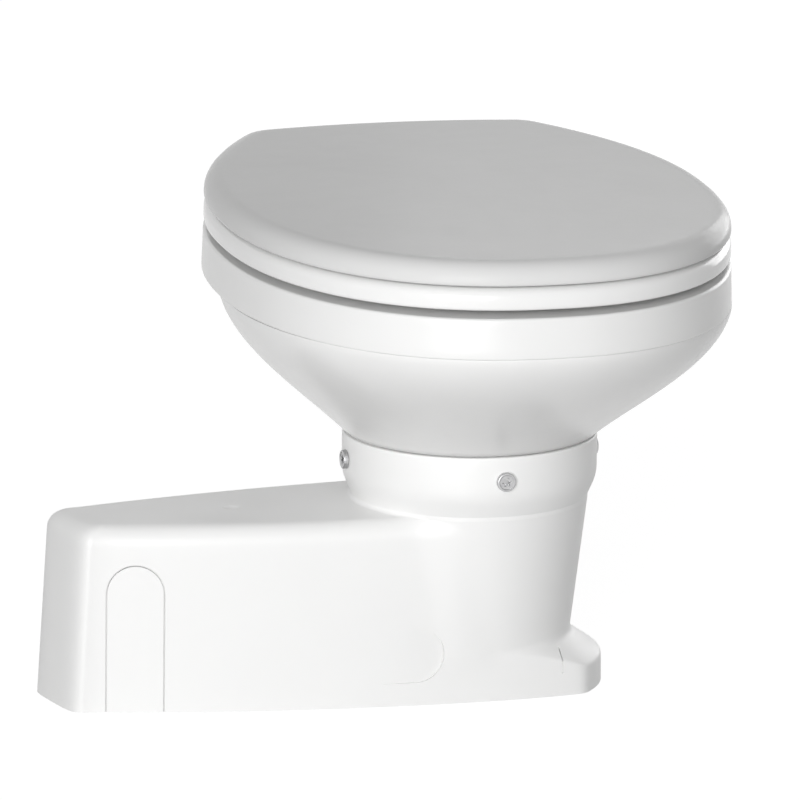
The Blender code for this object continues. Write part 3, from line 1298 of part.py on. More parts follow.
def make_mounting_plate():
    """The plate on the floor inside the shell, with two cradles for the motor."""
    margin = SHELL_WALL + PLATE_MARGIN
    half = [box_point(2.0 * i / 20, margin) for i in range(20)]
    for i in range(13):
        turn = math.pi / 2.0 * (1.0 - i / 12)
        reach = foot_radius(turn) - margin
        half.append((reach * math.cos(turn), reach * math.sin(turn)))
    outline = half + [(x, -y) for x, y in reversed(half[1:-1])]
    outline = [slanted(x, y, 0.0)[:2] for x, y in outline]
    plate = extruded("mounting_plate", [outline], PLATE_THICKNESS, Matrix.Identity(4))
    plate.matrix_world = Matrix.Translation((0.0, 0.0, PLATE_THICKNESS / 2.0))
    own(plate, DARK_PLASTIC)
    for share in CRADLE_PLACE_SHARES:
        middle = -motor_front() - MOTOR_FLANGE_THICKNESS - MOTOR_LENGTH * share
        half_thick = CRADLE_THICKNESS / 2.0
        cradle = tool(block("cradle", (middle - half_thick, -CRADLE_FRONT, PLATE_THICKNESS / 2.0),
                            (middle + half_thick, CRADLE_BACK, PUMP_HEIGHT - MOTOR_RADIUS / 2.0)))
        join(plate, cradle)
    saddle = tool(along_pump(disc, "saddle", MOTOR_RADIUS + TOUCH_GAP, motor_front(),
                             motor_front() + MOTOR_FLANGE_THICKNESS + MOTOR_LENGTH + OVERRUN, LARGE_STEPS))
    cut(plate, saddle)


def along_pump(maker, name, *sizes):
    """A turned piece on the pump's axis, its heights measured from the pedestal's axis towards -X."""
    obj = maker(name, *sizes)
    obj.location = (0.0, 0.0, PUMP_HEIGHT)
    obj.rotation_euler = (0.0, -math.pi / 2.0, 0.0)
    return obj


def make_sump():
    """The sump that hangs by its flange in the collar and stands on the mounting plate."""
    cavity = SUMP_RADIUS - SUMP_WALL
    flange_low = SUMP_TOP - SUMP_FLANGE_THICKNESS
    under = PLATE_THICKNESS + TOUCH_GAP
    profile = [
        (0.0, SUMP_TOP),
        (SUMP_FLANGE_RADIUS, SUMP_TOP),
        (SUMP_FLANGE_RADIUS, SUMP_TOP - SUMP_FLANGE_EDGE),
        (SUMP_FLANGE_RADIUS - SUMP_FLANGE_EDGE, flange_low),
        (SUMP_RADIUS, flange_low),
        (SUMP_RADIUS, under),
        (cavity, under),
        (cavity, SUMP_FLOOR_HEIGHT - SUMP_FLOOR_THICKNESS),
        (0.0, SUMP_FLOOR_HEIGHT - SUMP_FLOOR_THICKNESS),
    ]
    sump = own(turned("sump", profile, SUMP_STEPS), DARK_PLASTIC)
    inside = SUMP_RADIUS - SUMP_WALL / 2.0
    neck_start = inside - SUMP_WALL * 3.0
    neck_end = SUMP_PORT_FACE - SUMP_PORT_FLANGE_THICKNESS / 2.0
    neck = along_pump(disc, "port_neck", SUMP_PORT_RADIUS + SUMP_WALL, neck_start, neck_end, SUMP_STEPS)
    flange = along_pump(disc, "port_flange", SUMP_PORT_FLANGE_RADIUS, SUMP_PORT_FACE - SUMP_PORT_FLANGE_THICKNESS,
                        SUMP_PORT_FACE, SUMP_STEPS)
    hollow_profile = [(0.0, SUMP_TOP + OVERRUN), (cavity, SUMP_TOP + OVERRUN), (cavity, SUMP_FLOOR_HEIGHT + SUMP_WALL),
                      (cavity - SUMP_WALL, SUMP_FLOOR_HEIGHT), (0.0, SUMP_FLOOR_HEIGHT)]
    hollow = turned("sump_hollow", hollow_profile, SUMP_STEPS)
    bore = along_pump(disc, "port_bore", SUMP_PORT_RADIUS, neck_start / 2.0, SUMP_PORT_FACE + OVERRUN, SUMP_STEPS)
    join(sump, tool(neck), tool(flange))
    cut(sump, tool(hollow), tool(bore))


def make_seals():
    """The flat ring under the bowl's foot and the lip ring round its spigot."""
    low = SUMP_TOP + TOUCH_GAP
    own(ring("bowl_seal", SEAL_RING_INNER, SEAL_RING_OUTER, low, FOOT_RING_BOTTOM - TOUCH_GAP, SUMP_STEPS), RUBBER)
    spigot = THROAT_RADIUS + SPIGOT_WALL + TOUCH_GAP
    outer = SUMP_RADIUS - SUMP_WALL - TOUCH_GAP
    low = SPIGOT_SEAL_TOP - SPIGOT_SEAL_HEIGHT
    middle = (spigot + outer) / 2.0
    profile = [(spigot, SPIGOT_SEAL_TOP), (outer, SPIGOT_SEAL_TOP), (outer, low), (middle, low),
               (middle, SPIGOT_SEAL_TOP - SPIGOT_SEAL_HEIGHT * 0.4), (spigot, low + SPIGOT_SEAL_HEIGHT * 0.3)]
    own(turned("spigot_seal", profile, SUMP_STEPS), RUBBER)


# Macerator and motor

def housing_front():
    return SUMP_PORT_FACE + TOUCH_GAP


def housing_back():
    return housing_front() + HOUSING_LENGTH


def back_plate_start():
    return housing_back() + TOUCH_GAP


def motor_front():
    return back_plate_start() + BACK_PLATE_THICKNESS + TOUCH_GAP


def discharge_disc(name, radius, start, end):
    """A disc on the discharge's axis beside the pump, its heights measured like the pump's own."""
    obj = disc(name, radius, start, end, MEDIUM_STEPS)
    obj.location = (0.0, DISCHARGE_SIDE, DISCHARGE_HEIGHT)
    obj.rotation_euler = (0.0, -math.pi / 2.0, 0.0)
    return obj


def make_housing():
    """The macerator's housing, with the discharge boss low at its back side."""
    inner = HOUSING_RADIUS - HOUSING_WALL
    front, back = housing_front(), housing_back()
    housing = own(along_pump(disc, "macerator_housing", HOUSING_RADIUS, front, back, LARGE_STEPS), DARK_PLASTIC)
    boss = discharge_disc("housing_boss", DISCHARGE_BOSS_RADIUS, front + HOUSING_LENGTH * 0.42, back)
    hollow = along_pump(disc, "housing_hollow", inner, front - OVERRUN, back + OVERRUN, LARGE_STEPS)
    bore = discharge_disc("housing_bore", DISCHARGE_BORE_RADIUS, front + HOUSING_LENGTH * 0.52, back + OVERRUN)
    angle = math.atan2(DISCHARGE_SIDE, PUMP_HEIGHT - DISCHARGE_HEIGHT)
    reach = math.hypot(DISCHARGE_SIDE, PUMP_HEIGHT - DISCHARGE_HEIGHT)
    passage = disc("housing_passage", DISCHARGE_PASSAGE_RADIUS, inner / 2.0, reach, MEDIUM_STEPS)
    passage.location = (-back + HOUSING_LENGTH * 0.25, 0.0, PUMP_HEIGHT)
    passage.rotation_euler = (math.pi + angle, 0.0, 0.0)
    join(housing, tool(boss))
    cut(housing, tool(hollow), tool(bore), tool(passage))
    place = front + SHEAR_PLATE_PLACE
    plate = own(along_pump(ring, "shear_plate", SHAFT_RADIUS + RUNNING_GAP, inner - TOUCH_GAP, place,
                           place + SHEAR_PLATE_THICKNESS, LARGE_STEPS), STEEL)
    for i in range(SHEAR_HOLE_COUNT):
        turn = 2.0 * math.pi * i / SHEAR_HOLE_COUNT
        hole = disc("shear_hole_%d" % i, SHEAR_HOLE_RADIUS, place - OVERRUN, place + OVERRUN, HOLE_STEPS)
        hole.location = (0.0, SHEAR_HOLE_CIRCLE * math.cos(turn), PUMP_HEIGHT + SHEAR_HOLE_CIRCLE * math.sin(turn))
        hole.rotation_euler = (0.0, -math.pi / 2.0, 0.0)
        cut(plate, tool(hole))


def make_back_plate():
    """The plate between pump and motor, with bores for the seal and the front bearing."""
    start = back_plate_start()
    end = start + BACK_PLATE_THICKNESS
    spigot = MOTOR_RADIUS - MOTOR_WALL - TOUCH_GAP
    spigot_end = end + BACK_PLATE_SPIGOT_LENGTH
    seal_end = start + SHAFT_SEAL_WIDTH + TOUCH_GAP
    lip = (SHAFT_RADIUS + SHAFT_SEAL_RADIUS) / 2.0
    profile = [
        (SHAFT_SEAL_RADIUS, start),
        (SHAFT_SEAL_RADIUS, seal_end),
        (lip, seal_end),
        (lip, spigot_end - BEARING_WIDTH - TOUCH_GAP),
        (BEARING_RADIUS, spigot_end - BEARING_WIDTH - TOUCH_GAP),
        (BEARING_RADIUS, spigot_end),
        (spigot, spigot_end),
        (spigot, end),
        (HOUSING_RADIUS, end),
        (HOUSING_RADIUS, start),
    ]
    plate = own(along_pump(turned, "back_plate", profile, LARGE_STEPS), DARK_PLASTIC)
    join(plate, tool(discharge_disc("plate_boss", DISCHARGE_BOSS_RADIUS, start, end)))
    cut(plate, tool(discharge_disc("plate_bore", DISCHARGE_BORE_RADIUS, start - OVERRUN, end + OVERRUN)))

    shaft = SHAFT_RADIUS + TOUCH_GAP
    outer = SHAFT_SEAL_RADIUS - TOUCH_GAP
    first, last = start + TOUCH_GAP, start + SHAFT_SEAL_WIDTH
    middle = (shaft + outer) / 2.0
    profile = [(shaft, first), (outer, first), (outer, last), (middle, last),
               (middle, (first + last) / 2.0), (shaft, first + (last - first) * 0.75)]
    own(along_pump(turned, "shaft_seal", profile, MEDIUM_STEPS), RUBBER)
    make_bearing("front_bearing", spigot_end - BEARING_WIDTH)


def make_bearing(name, start):
    """A ball bearing as one ring, with the groove between its races at the front face."""
    inner = SHAFT_RADIUS + TOUCH_GAP
    outer = BEARING_RADIUS - TOUCH_GAP
    groove = BEARING_EDGE
    third = (outer - inner) * 0.28
    end = start + BEARING_WIDTH
    profile = [
        (inner, start), (inner + third, start), (inner + third * 1.2, start + groove),
        (outer - third * 1.2, start + groove), (outer - third, start), (outer, start), (outer, end), (inner, end),
    ]
    own(along_pump(turned, name, profile, SCREW_STEPS), STEEL)


def make_motor():
    """The motor's can, its magnets and its end cap with the rear bearing."""
    start = motor_front()
    end = start + MOTOR_LENGTH
    inner = MOTOR_RADIUS - MOTOR_WALL
    profile = [
        (inner, start), (inner, end), (MOTOR_RADIUS, end), (MOTOR_RADIUS, start + MOTOR_FLANGE_THICKNESS),
        (MOTOR_FLANGE_RADIUS, start + MOTOR_FLANGE_THICKNESS), (MOTOR_FLANGE_RADIUS, start),
    ]
    own(along_pump(turned, "motor_can", profile, LARGE_STEPS), MOTOR_PAINT)
    outer = inner - TOUCH_GAP
    first = start + (MOTOR_LENGTH - MAGNET_LENGTH) / 2.0
    own(along_pump(ring, "magnet_ring", outer - MAGNET_THICKNESS, outer, first, first + MAGNET_LENGTH, LARGE_STEPS),
        MAGNET)
    face = end + TOUCH_GAP
    back = face + END_CAP_LENGTH
    pocket = face + BEARING_WIDTH + TOUCH_GAP
    profile = [
        (0.0, back), (MOTOR_RADIUS - END_CAP_ROUND, back), (MOTOR_RADIUS - END_CAP_ROUND * 0.3, back - END_CAP_ROUND * 0.3),
        (MOTOR_RADIUS, back - END_CAP_ROUND), (MOTOR_RADIUS, face), (outer, face), (outer, face - END_CAP_ROUND),
        (BEARING_RADIUS + MOTOR_WALL, face - END_CAP_ROUND), (BEARING_RADIUS + MOTOR_WALL, face),
        (BEARING_RADIUS, face), (BEARING_RADIUS, pocket), (0.0, pocket),
    ]
    own(along_pump(turned, "motor_end_cap", profile, LARGE_STEPS), MOTOR_PAINT)
    make_bearing("rear_bearing", face)


def make_rotor():
    """What turns: the shaft, the armature, the impeller and the chopper blade."""
    axis = axis_empty("rotor_axis", (-motor_front(), 0.0, PUMP_HEIGHT))
    edge = SHAFT_RADIUS * 0.2
    profile = [
        (0.0, SHAFT_END), (SHAFT_RADIUS - edge, SHAFT_END), (SHAFT_RADIUS, SHAFT_END - edge),
        (SHAFT_RADIUS, SHAFT_START + edge), (SHAFT_RADIUS - edge, SHAFT_START), (0.0, SHAFT_START),
    ]
    own(along_pump(turned, "motor_shaft", profile, MEDIUM_STEPS), STEEL, axis)

    bore = SHAFT_RADIUS + TOUCH_GAP
    first = motor_front() + (MOTOR_LENGTH - ARMATURE_LENGTH) / 2.0
    armature = own(along_pump(ring, "armature", bore, ARMATURE_RADIUS, first, first + ARMATURE_LENGTH, LARGE_STEPS),
                   MAGNET, axis)
    for i in range(ARMATURE_SLOT_COUNT):
        turn = 2.0 * math.pi * i / ARMATURE_SLOT_COUNT
        slot = block("armature_slot_%d" % i,
                     (-ARMATURE_SLOT_WIDTH / 2.0, ARMATURE_RADIUS - ARMATURE_SLOT_DEPTH, first - OVERRUN),
                     (ARMATURE_SLOT_WIDTH / 2.0, ARMATURE_RADIUS + OVERRUN, first + ARMATURE_LENGTH + OVERRUN))
        slot.matrix_world = pump_matrix(turn)
        cut(armature, tool(slot))

    disc_start = IMPELLER_PLACE
    impeller = own(along_pump(ring, "impeller", bore, IMPELLER_RADIUS, disc_start, disc_start + IMPELLER_DISC,
                              LARGE_STEPS), NYLON, axis)
    vane_start = disc_start - IMPELLER_VANE_HEIGHT
    hub = along_pump(ring, "impeller_hub", bore, IMPELLER_HUB_RADIUS, vane_start, disc_start + IMPELLER_DISC / 2.0,
                     MEDIUM_STEPS)
    join(impeller, tool(hub))
    for i in range(IMPELLER_VANE_COUNT):
        vane = impeller_vane(i, vane_start, disc_start + IMPELLER_DISC / 2.0)
        join(impeller, tool(vane))

    blade_end = BLADE_PLACE + BLADE_THICKNESS
    blade = own(along_pump(ring, "chopper_blade", bore, BLADE_HUB_RADIUS, BLADE_PLACE - BLADE_HUB_LENGTH * 0.3,
                           BLADE_PLACE + BLADE_HUB_LENGTH * 0.7, MEDIUM_STEPS), STEEL, axis)
    for i in range(2):
        turn = math.pi * i
        half = BLADE_WIDTH / 2.0
        arm = block("blade_arm_%d" % i, (-half, BLADE_HUB_RADIUS * 0.7, BLADE_PLACE), (half, BLADE_RADIUS, blade_end))
        tip = block("blade_tip_%d" % i, (-half, BLADE_RADIUS - BLADE_THICKNESS, BLADE_PLACE - BLADE_TIP_HEIGHT),
                    (half * 0.3, BLADE_RADIUS, blade_end - TOUCH_GAP))
        for obj in (arm, tip):
            obj.matrix_world = pump_matrix(turn)
            join(blade, tool(obj))


def pump_matrix(turn):
    """Places a shape drawn round Z on the pump's axis, turned about it."""
    return (Matrix.Translation((0.0, 0.0, PUMP_HEIGHT)) @ Matrix.Rotation(-math.pi / 2.0, 4, "Y")
            @ Matrix.Rotation(turn, 4, "Z"))


def impeller_vane(index, bottom, top):
    """One backward curved vane, from the hub out to the impeller's edge."""
    steps = 3
    inner, outer = IMPELLER_HUB_RADIUS * 0.85, IMPELLER_RADIUS * 0.97
    left, right = [], []
    for i in range(steps + 1):
        share = i / steps
        radius = inner + (outer - inner) * share
        turn = share * 0.9
        half = IMPELLER_VANE_THICKNESS / 2.0 / radius
        left.append((radius * math.cos(turn - half), radius * math.sin(turn - half)))
        right.append((radius * math.cos(turn + half), radius * math.sin(turn + half)))
    vane = extruded("vane_%d" % index, [left + right[::-1]], top - bottom, Matrix.Identity(4))
    vane.matrix_world = (pump_matrix(2.0 * math.pi * index / IMPELLER_VANE_COUNT)
                         @ Matrix.Translation((0.0, 0.0, (bottom + top) / 2.0)))
    return vane


# Discharge

def bend_points(centre, radius, start, end, steps, plane):
    """Points round part of a circle in a plane given by its two directions."""
    first, second = plane
    points = []
    for i in range(steps + 1):
        turn = math.radians(start + (end - start) * i / steps)
        points.append(Vector(centre) + Vector(first) * radius * math.cos(turn) + Vector(second) * radius * math.sin(turn))
    return points


def make_discharge():
    """The discharge pipe beside the motor, the duckbill valve and the hose connector behind the front port."""
    start = back_plate_start() + BACK_PLATE_THICKNESS + TOUCH_GAP
    outer = DISCHARGE_BORE_RADIUS + DISCHARGE_WALL
    bend_x = -PORT_PLACE + DISCHARGE_BEND
    bend_y = DISCHARGE_SIDE - DISCHARGE_BEND
    height = DISCHARGE_HEIGHT
    plane = ((0.0, 1.0, 0.0), (-1.0, 0.0, 0.0))
    bend = bend_points((bend_x, bend_y, height), DISCHARGE_BEND, 0.0, 90.0, 5, plane)
    end_y = bend_y - 2.0 * DISCHARGE_FLANGE_THICKNESS
    flange_y = end_y + DISCHARGE_FLANGE_THICKNESS
    path = [Vector((-start, DISCHARGE_SIDE, height))] + bend + [Vector((-PORT_PLACE, (end_y + flange_y) / 2.0, height))]
    pipe = own(rod("discharge_pipe", path, outer, 3), DARK_PLASTIC)
    longer = list(path)
    longer[0] = longer[0] + Vector((OVERRUN, 0.0, 0.0))
    longer[-1] = longer[-1] - Vector((0.0, OVERRUN, 0.0))
    flange = disc("pipe_flange", DISCHARGE_FLANGE_RADIUS, -flange_y, -end_y, MEDIUM_STEPS,
                  centre=(-PORT_PLACE, 0.0, height), rotation=(math.pi / 2.0, 0.0, 0.0))
    bore = rod("pipe_bore", longer, DISCHARGE_BORE_RADIUS, 2)
    join(pipe, tool(flange))
    cut(pipe, tool(bore))

    centre = (-PORT_PLACE, end_y - TOUCH_GAP, height)
    rotation = (math.pi / 2.0, 0.0, 0.0)
    own(flap_valve(centre, rotation), RUBBER)
    base = FLAP_VALVE_FLANGE + TOUCH_GAP
    flange_top = base + DISCHARGE_FLANGE_THICKNESS
    end = base + CONNECTOR_LENGTH
    profile = [(DISCHARGE_BORE_RADIUS, end), (DISCHARGE_BORE_RADIUS, base), (DISCHARGE_FLANGE_RADIUS, base),
               (DISCHARGE_FLANGE_RADIUS, flange_top)]
    pitch = (end - flange_top) * 0.6 / CONNECTOR_BARB_COUNT
    for i in range(CONNECTOR_BARB_COUNT):
        low = end - (CONNECTOR_BARB_COUNT - i) * pitch
        profile += [(outer - CONNECTOR_BARB, low), (outer, low)]
    profile.append((outer - CONNECTOR_BARB, end))
    profile.insert(4, (outer - CONNECTOR_BARB, flange_top))
    own(turned("discharge_connector", profile, MEDIUM_STEPS, centre, rotation), DARK_PLASTIC)


def flap_valve(centre, rotation):
    """The duckbill valve: a rubber sleeve with a flange, flattened to two lips."""
    sleeve = DISCHARGE_BORE_RADIUS - TOUCH_GAP * 2.0
    inner = sleeve - FLAP_VALVE_WALL
    count = 12

    def oval(across, up, height):
        return [(across * math.cos(2.0 * math.pi * i / count), up * math.sin(2.0 * math.pi * i / count), height)
                for i in range(count)]

    lip = FLAP_VALVE_SLIT / 2.0 + FLAP_VALVE_WALL
    rings = [
        oval(DISCHARGE_FLANGE_RADIUS, DISCHARGE_FLANGE_RADIUS, 0.0),
        oval(DISCHARGE_FLANGE_RADIUS, DISCHARGE_FLANGE_RADIUS, FLAP_VALVE_FLANGE),
        oval(sleeve, sleeve, FLAP_VALVE_FLANGE),
        oval(sleeve, sleeve, FLAP_VALVE_FLANGE + FLAP_VALVE_LENGTH * 0.25),
        oval(sleeve * 0.98, (sleeve + lip) / 2.0, FLAP_VALVE_FLANGE + FLAP_VALVE_LENGTH * 0.65),
        oval(sleeve * 0.96, lip, FLAP_VALVE_FLANGE + FLAP_VALVE_LENGTH),
        oval(inner * 0.96, lip - FLAP_VALVE_WALL, FLAP_VALVE_FLANGE + FLAP_VALVE_LENGTH),
        oval(inner * 0.98, (inner + lip - FLAP_VALVE_WALL) / 2.0, FLAP_VALVE_FLANGE + FLAP_VALVE_LENGTH * 0.65),
        oval(inner, inner, FLAP_VALVE_FLANGE + FLAP_VALVE_LENGTH * 0.25),
        oval(inner, inner, 0.0),
    ]
    valve = lofted("duckbill_valve", rings, closed_loop=True)
    valve.location = centre
    valve.rotation_euler = rotation
    return valve


# Rinse water

def make_rinse_valve():
    """The solenoid valve on the sump's back: block with both barbs, coil, plunger and return spring."""
    front = SUMP_RADIUS + TOUCH_GAP
    back = front + RINSE_BLOCK_DEPTH
    middle = (front + back) / 2.0
    half = RINSE_BLOCK_HALF_WIDTH
    low, high = RINSE_HEIGHT - RINSE_BLOCK_HALF_HEIGHT, RINSE_HEIGHT + RINSE_BLOCK_HALF_HEIGHT
    body = own(block("rinse_valve", (-half, front, low), (half, back, high), RINSE_BLOCK_ROUND), DARK_PLASTIC)
    barb = disc("outlet_barb", RINSE_BARB_RADIUS, -RINSE_BARB_END, -middle, MEDIUM_STEPS,
                centre=(0.0, 0.0, RINSE_HEIGHT), rotation=(math.pi / 2.0, 0.0, 0.0))
    intake_height = RINSE_HEIGHT + RINSE_INTAKE_RISE
    intake = disc("intake_barb", RINSE_INTAKE_RADIUS, half / 2.0, half + RINSE_INTAKE_LENGTH, SMALL_STEPS,
                  centre=(0.0, middle, intake_height), rotation=(0.0, -math.pi / 2.0, 0.0))
    join(body, tool(barb), tool(intake))
    inner_end = middle - RINSE_ORIFICE_RADIUS * 1.5
    barb_bore = disc("outlet_bore", RINSE_BARB_BORE, -RINSE_BARB_END - OVERRUN, -inner_end, MEDIUM_STEPS,
                     centre=(0.0, 0.0, RINSE_HEIGHT), rotation=(math.pi / 2.0, 0.0, 0.0))
    intake_bore = disc("intake_bore", RINSE_INTAKE_BORE, half * 0.2, half + RINSE_INTAKE_LENGTH + OVERRUN, MEDIUM_STEPS,
                       centre=(0.0, middle, intake_height), rotation=(0.0, -math.pi / 2.0, 0.0))
    seat = RINSE_HEIGHT + RINSE_SEAT_RISE
    orifice = disc("orifice", RINSE_ORIFICE_RADIUS, RINSE_HEIGHT + RINSE_BARB_BORE * 0.4, seat + OVERRUN, SMALL_STEPS,
                   centre=(0.0, middle, 0.0))
    chamber = disc("chamber", RINSE_CHAMBER_RADIUS, seat, high + OVERRUN, MEDIUM_STEPS, centre=(0.0, middle, 0.0))
    cut(body, tool(chamber), tool(intake_bore), tool(orifice), tool(barb_bore))

    coil_low = high + TOUCH_GAP
    coil_high = coil_low + COIL_HEIGHT
    ceiling = coil_high - COIL_LID_THICKNESS
    profile = [
        (0.0, coil_high), (COIL_RADIUS - COIL_EDGE, coil_high), (COIL_RADIUS, coil_high - COIL_EDGE),
        (COIL_RADIUS, coil_low), (COIL_BORE_RADIUS, coil_low), (COIL_BORE_RADIUS, ceiling), (0.0, ceiling),
    ]
    own(turned("valve_coil", profile, MEDIUM_STEPS, (0.0, middle, 0.0)), MOTOR_PAINT)

    axis = axis_empty("plunger_axis", (0.0, middle, seat))
    plunger_low = seat + TOUCH_GAP
    plunger_high = plunger_low + PLUNGER_LENGTH
    edge = PLUNGER_RADIUS * 0.15
    profile = [
        (0.0, plunger_high), (PLUNGER_RADIUS - edge, plunger_high), (PLUNGER_RADIUS, plunger_high - edge),
        (PLUNGER_RADIUS, plunger_low + edge), (PLUNGER_RADIUS - edge, plunger_low), (0.0, plunger_low),
    ]
    own(turned("valve_plunger", profile, MEDIUM_STEPS, (0.0, middle, 0.0)), STEEL, axis)
    start = plunger_high + TOUCH_GAP + SPRING_WIRE_RADIUS
    end = ceiling - TOUCH_GAP - SPRING_WIRE_RADIUS
    path = []
    steps = 8
    for i in range(SPRING_TURNS * steps + 1):
        turn = 2.0 * math.pi * i / steps
        height = start + (end - start) * i / (SPRING_TURNS * steps)
        path.append(Vector((SPRING_RADIUS * math.cos(turn), middle + SPRING_RADIUS * math.sin(turn), height)))
    own(rod("valve_spring", path, SPRING_WIRE_RADIUS, 0), STEEL)


def make_rinse_elbow(axis):
    """The elbow through the bowl's back, its nut and its nozzle inside the bowl."""
    height = INLET_HEIGHT
    face = BOSS_END + TOUCH_GAP
    bend = bend_points((0.0, ELBOW_REACH - ELBOW_BEND, height - ELBOW_BEND), ELBOW_BEND, 90.0, 0.0, 5,
                       ((0.0, 1.0, 0.0), (0.0, 0.0, 1.0)))
    path = [Vector((0.0, ELBOW_TIP, height))] + bend + [Vector((0.0, ELBOW_REACH, ELBOW_SHOULDER))]
    elbow = own(rod("rinse_elbow", path, ELBOW_PIPE_RADIUS, 3), NYLON, axis)
    barb = disc("elbow_barb", RINSE_BARB_RADIUS, ELBOW_BARB_END, ELBOW_SHOULDER + OVERRUN, SMALL_STEPS,
                centre=(0.0, ELBOW_REACH, 0.0))
    flange = disc("elbow_flange", ELBOW_FLANGE_RADIUS, -face - ELBOW_FLANGE_THICKNESS, -face, MEDIUM_STEPS,
                  centre=(0.0, 0.0, height), rotation=(math.pi / 2.0, 0.0, 0.0))
    join(elbow, tool(barb, axis), tool(flange, axis))
    longer = list(path)
    longer[0] = longer[0] - Vector((0.0, OVERRUN, 0.0))
    longer[-1] = Vector((0.0, ELBOW_REACH, ELBOW_BARB_END - OVERRUN))
    cut(elbow, tool(rod("elbow_bore", longer, ELBOW_BORE_RADIUS, 3), axis))

    bore = ELBOW_PIPE_RADIUS + TOUCH_GAP
    nut_face = BOSS_START - TOUCH_GAP
    rotation = (math.pi / 2.0, 0.0, 0.0)
    centre = (0.0, 0.0, height)
    nut = disc("rinse_nut", RINSE_NUT_RADIUS, -nut_face, -nut_face + RINSE_NUT_THICKNESS, 6, centre, rotation)
    nut_bore = disc("nut_bore", bore, -nut_face - OVERRUN, -nut_face + RINSE_NUT_THICKNESS + OVERRUN, MEDIUM_STEPS,
                    centre, rotation)
    cut(own(nut, NYLON, axis), tool(nut_bore, axis))
    start = -nut_face + RINSE_NUT_THICKNESS + TOUCH_GAP
    end = start + NOZZLE_LENGTH
    profile = [(0.0, end), (NOZZLE_RADIUS * 0.8, end), (NOZZLE_RADIUS, end - NOZZLE_WALL), (NOZZLE_RADIUS, start),
               (bore, start), (bore, end - NOZZLE_WALL), (0.0, end - NOZZLE_WALL)]
    nozzle = own(turned("rinse_nozzle", profile, MEDIUM_STEPS, centre, rotation), NYLON, axis)
    slot = block("nozzle_slot", (-NOZZLE_RADIUS - OVERRUN, -end + NOZZLE_WALL, height - NOZZLE_SLOT / 2.0),
                 (NOZZLE_RADIUS + OVERRUN, -end + NOZZLE_WALL + NOZZLE_SLOT, height + NOZZLE_SLOT / 2.0))
    cut(nozzle, tool(slot, axis))


def make_rinse_hose():
    """The hose from the valve's barb up behind the pedestal to the elbow, and its two clamps."""
    turn = math.radians(BOWL_TURN)
    end_x, end_y = -ELBOW_REACH * math.sin(turn), ELBOW_REACH * math.cos(turn)
    start = RINSE_HOSE_START
    straight = RINSE_BARB_END + RINSE_HOSE_WALL
    base = RINSE_HEIGHT
    rise = RINSE_HOSE_TOP - base
    middle = (straight + end_y) / 2.0
    knots = [
        (0.0, straight, base),
        (end_x * 0.10, straight + (end_y - straight) * 0.30, base + rise * 0.07),
        (end_x * 0.45, middle + (end_y - straight) * 0.17, base + rise * 0.30),
        (end_x * 0.85, end_y - (end_y - straight) * 0.07, base + rise * 0.62),
        (end_x, end_y, ELBOW_BARB_END - RINSE_HOSE_WALL),
    ]
    path = [Vector((0.0, start, base))] + smooth_path(knots, 2) + [Vector((end_x, end_y, RINSE_HOSE_TOP))]
    hose = own(rod("rinse_hose", path, RINSE_HOSE_RADIUS, 3), HOSE)
    longer = list(path)
    longer[0] = longer[0] - Vector((0.0, OVERRUN, 0.0))
    longer[-1] = longer[-1] + Vector((0.0, 0.0, OVERRUN))
    cut(hose, tool(rod("hose_bore", longer, RINSE_HOSE_RADIUS - RINSE_HOSE_WALL, 2)))
    inner = RINSE_HOSE_RADIUS + TOUCH_GAP
    outer = inner + HOSE_CLAMP_THICKNESS
    low = start + HOSE_CLAMP_INSET
    clamp = ring("hose_clamp_lower", inner, outer, -low - HOSE_CLAMP_WIDTH, -low, MEDIUM_STEPS, (0.0, 0.0, base),
                 (math.pi / 2.0, 0.0, 0.0))
    own(clamp, STEEL)
    high = RINSE_HOSE_TOP - HOSE_CLAMP_INSET
    clamp = ring("hose_clamp_upper", inner, outer, high - HOSE_CLAMP_WIDTH, high, MEDIUM_STEPS, (end_x, end_y, 0.0))
    own(clamp, STEEL)


def main():
    bowl_axis = axis_empty("bowl_axis", (0.0, 0.0, 0.0), (0.0, 0.0, math.radians(BOWL_TURN)))
    seat_axis = axis_empty("seat_axis", (0.0, HINGE_AXIS, HINGE_HEIGHT), parent=bowl_axis)
    lid_axis = axis_empty("lid_axis", (0.0, HINGE_AXIS, HINGE_HEIGHT), parent=bowl_axis)
    make_lid(bowl_axis, lid_axis)
    make_seat(bowl_axis, seat_axis)
    make_hinges(bowl_axis, seat_axis, lid_axis)
    make_buffers(seat_axis, lid_axis)
    make_bowl(bowl_axis)
    make_rinse_elbow(bowl_axis)
    make_base_shell()
    make_clamp_screws()
    make_mounting_plate()
    make_sump()
    make_seals()
    make_housing()
    make_back_plate()
    make_motor()
    make_rotor()
    make_discharge()
    make_rinse_valve()
    make_rinse_hose()


main()
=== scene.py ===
import json
import math

import bmesh
import bpy
from mathutils import Matrix, Vector
from mathutils.bvhtree import BVHTree
from mathutils.interpolate import poly_3d_calc

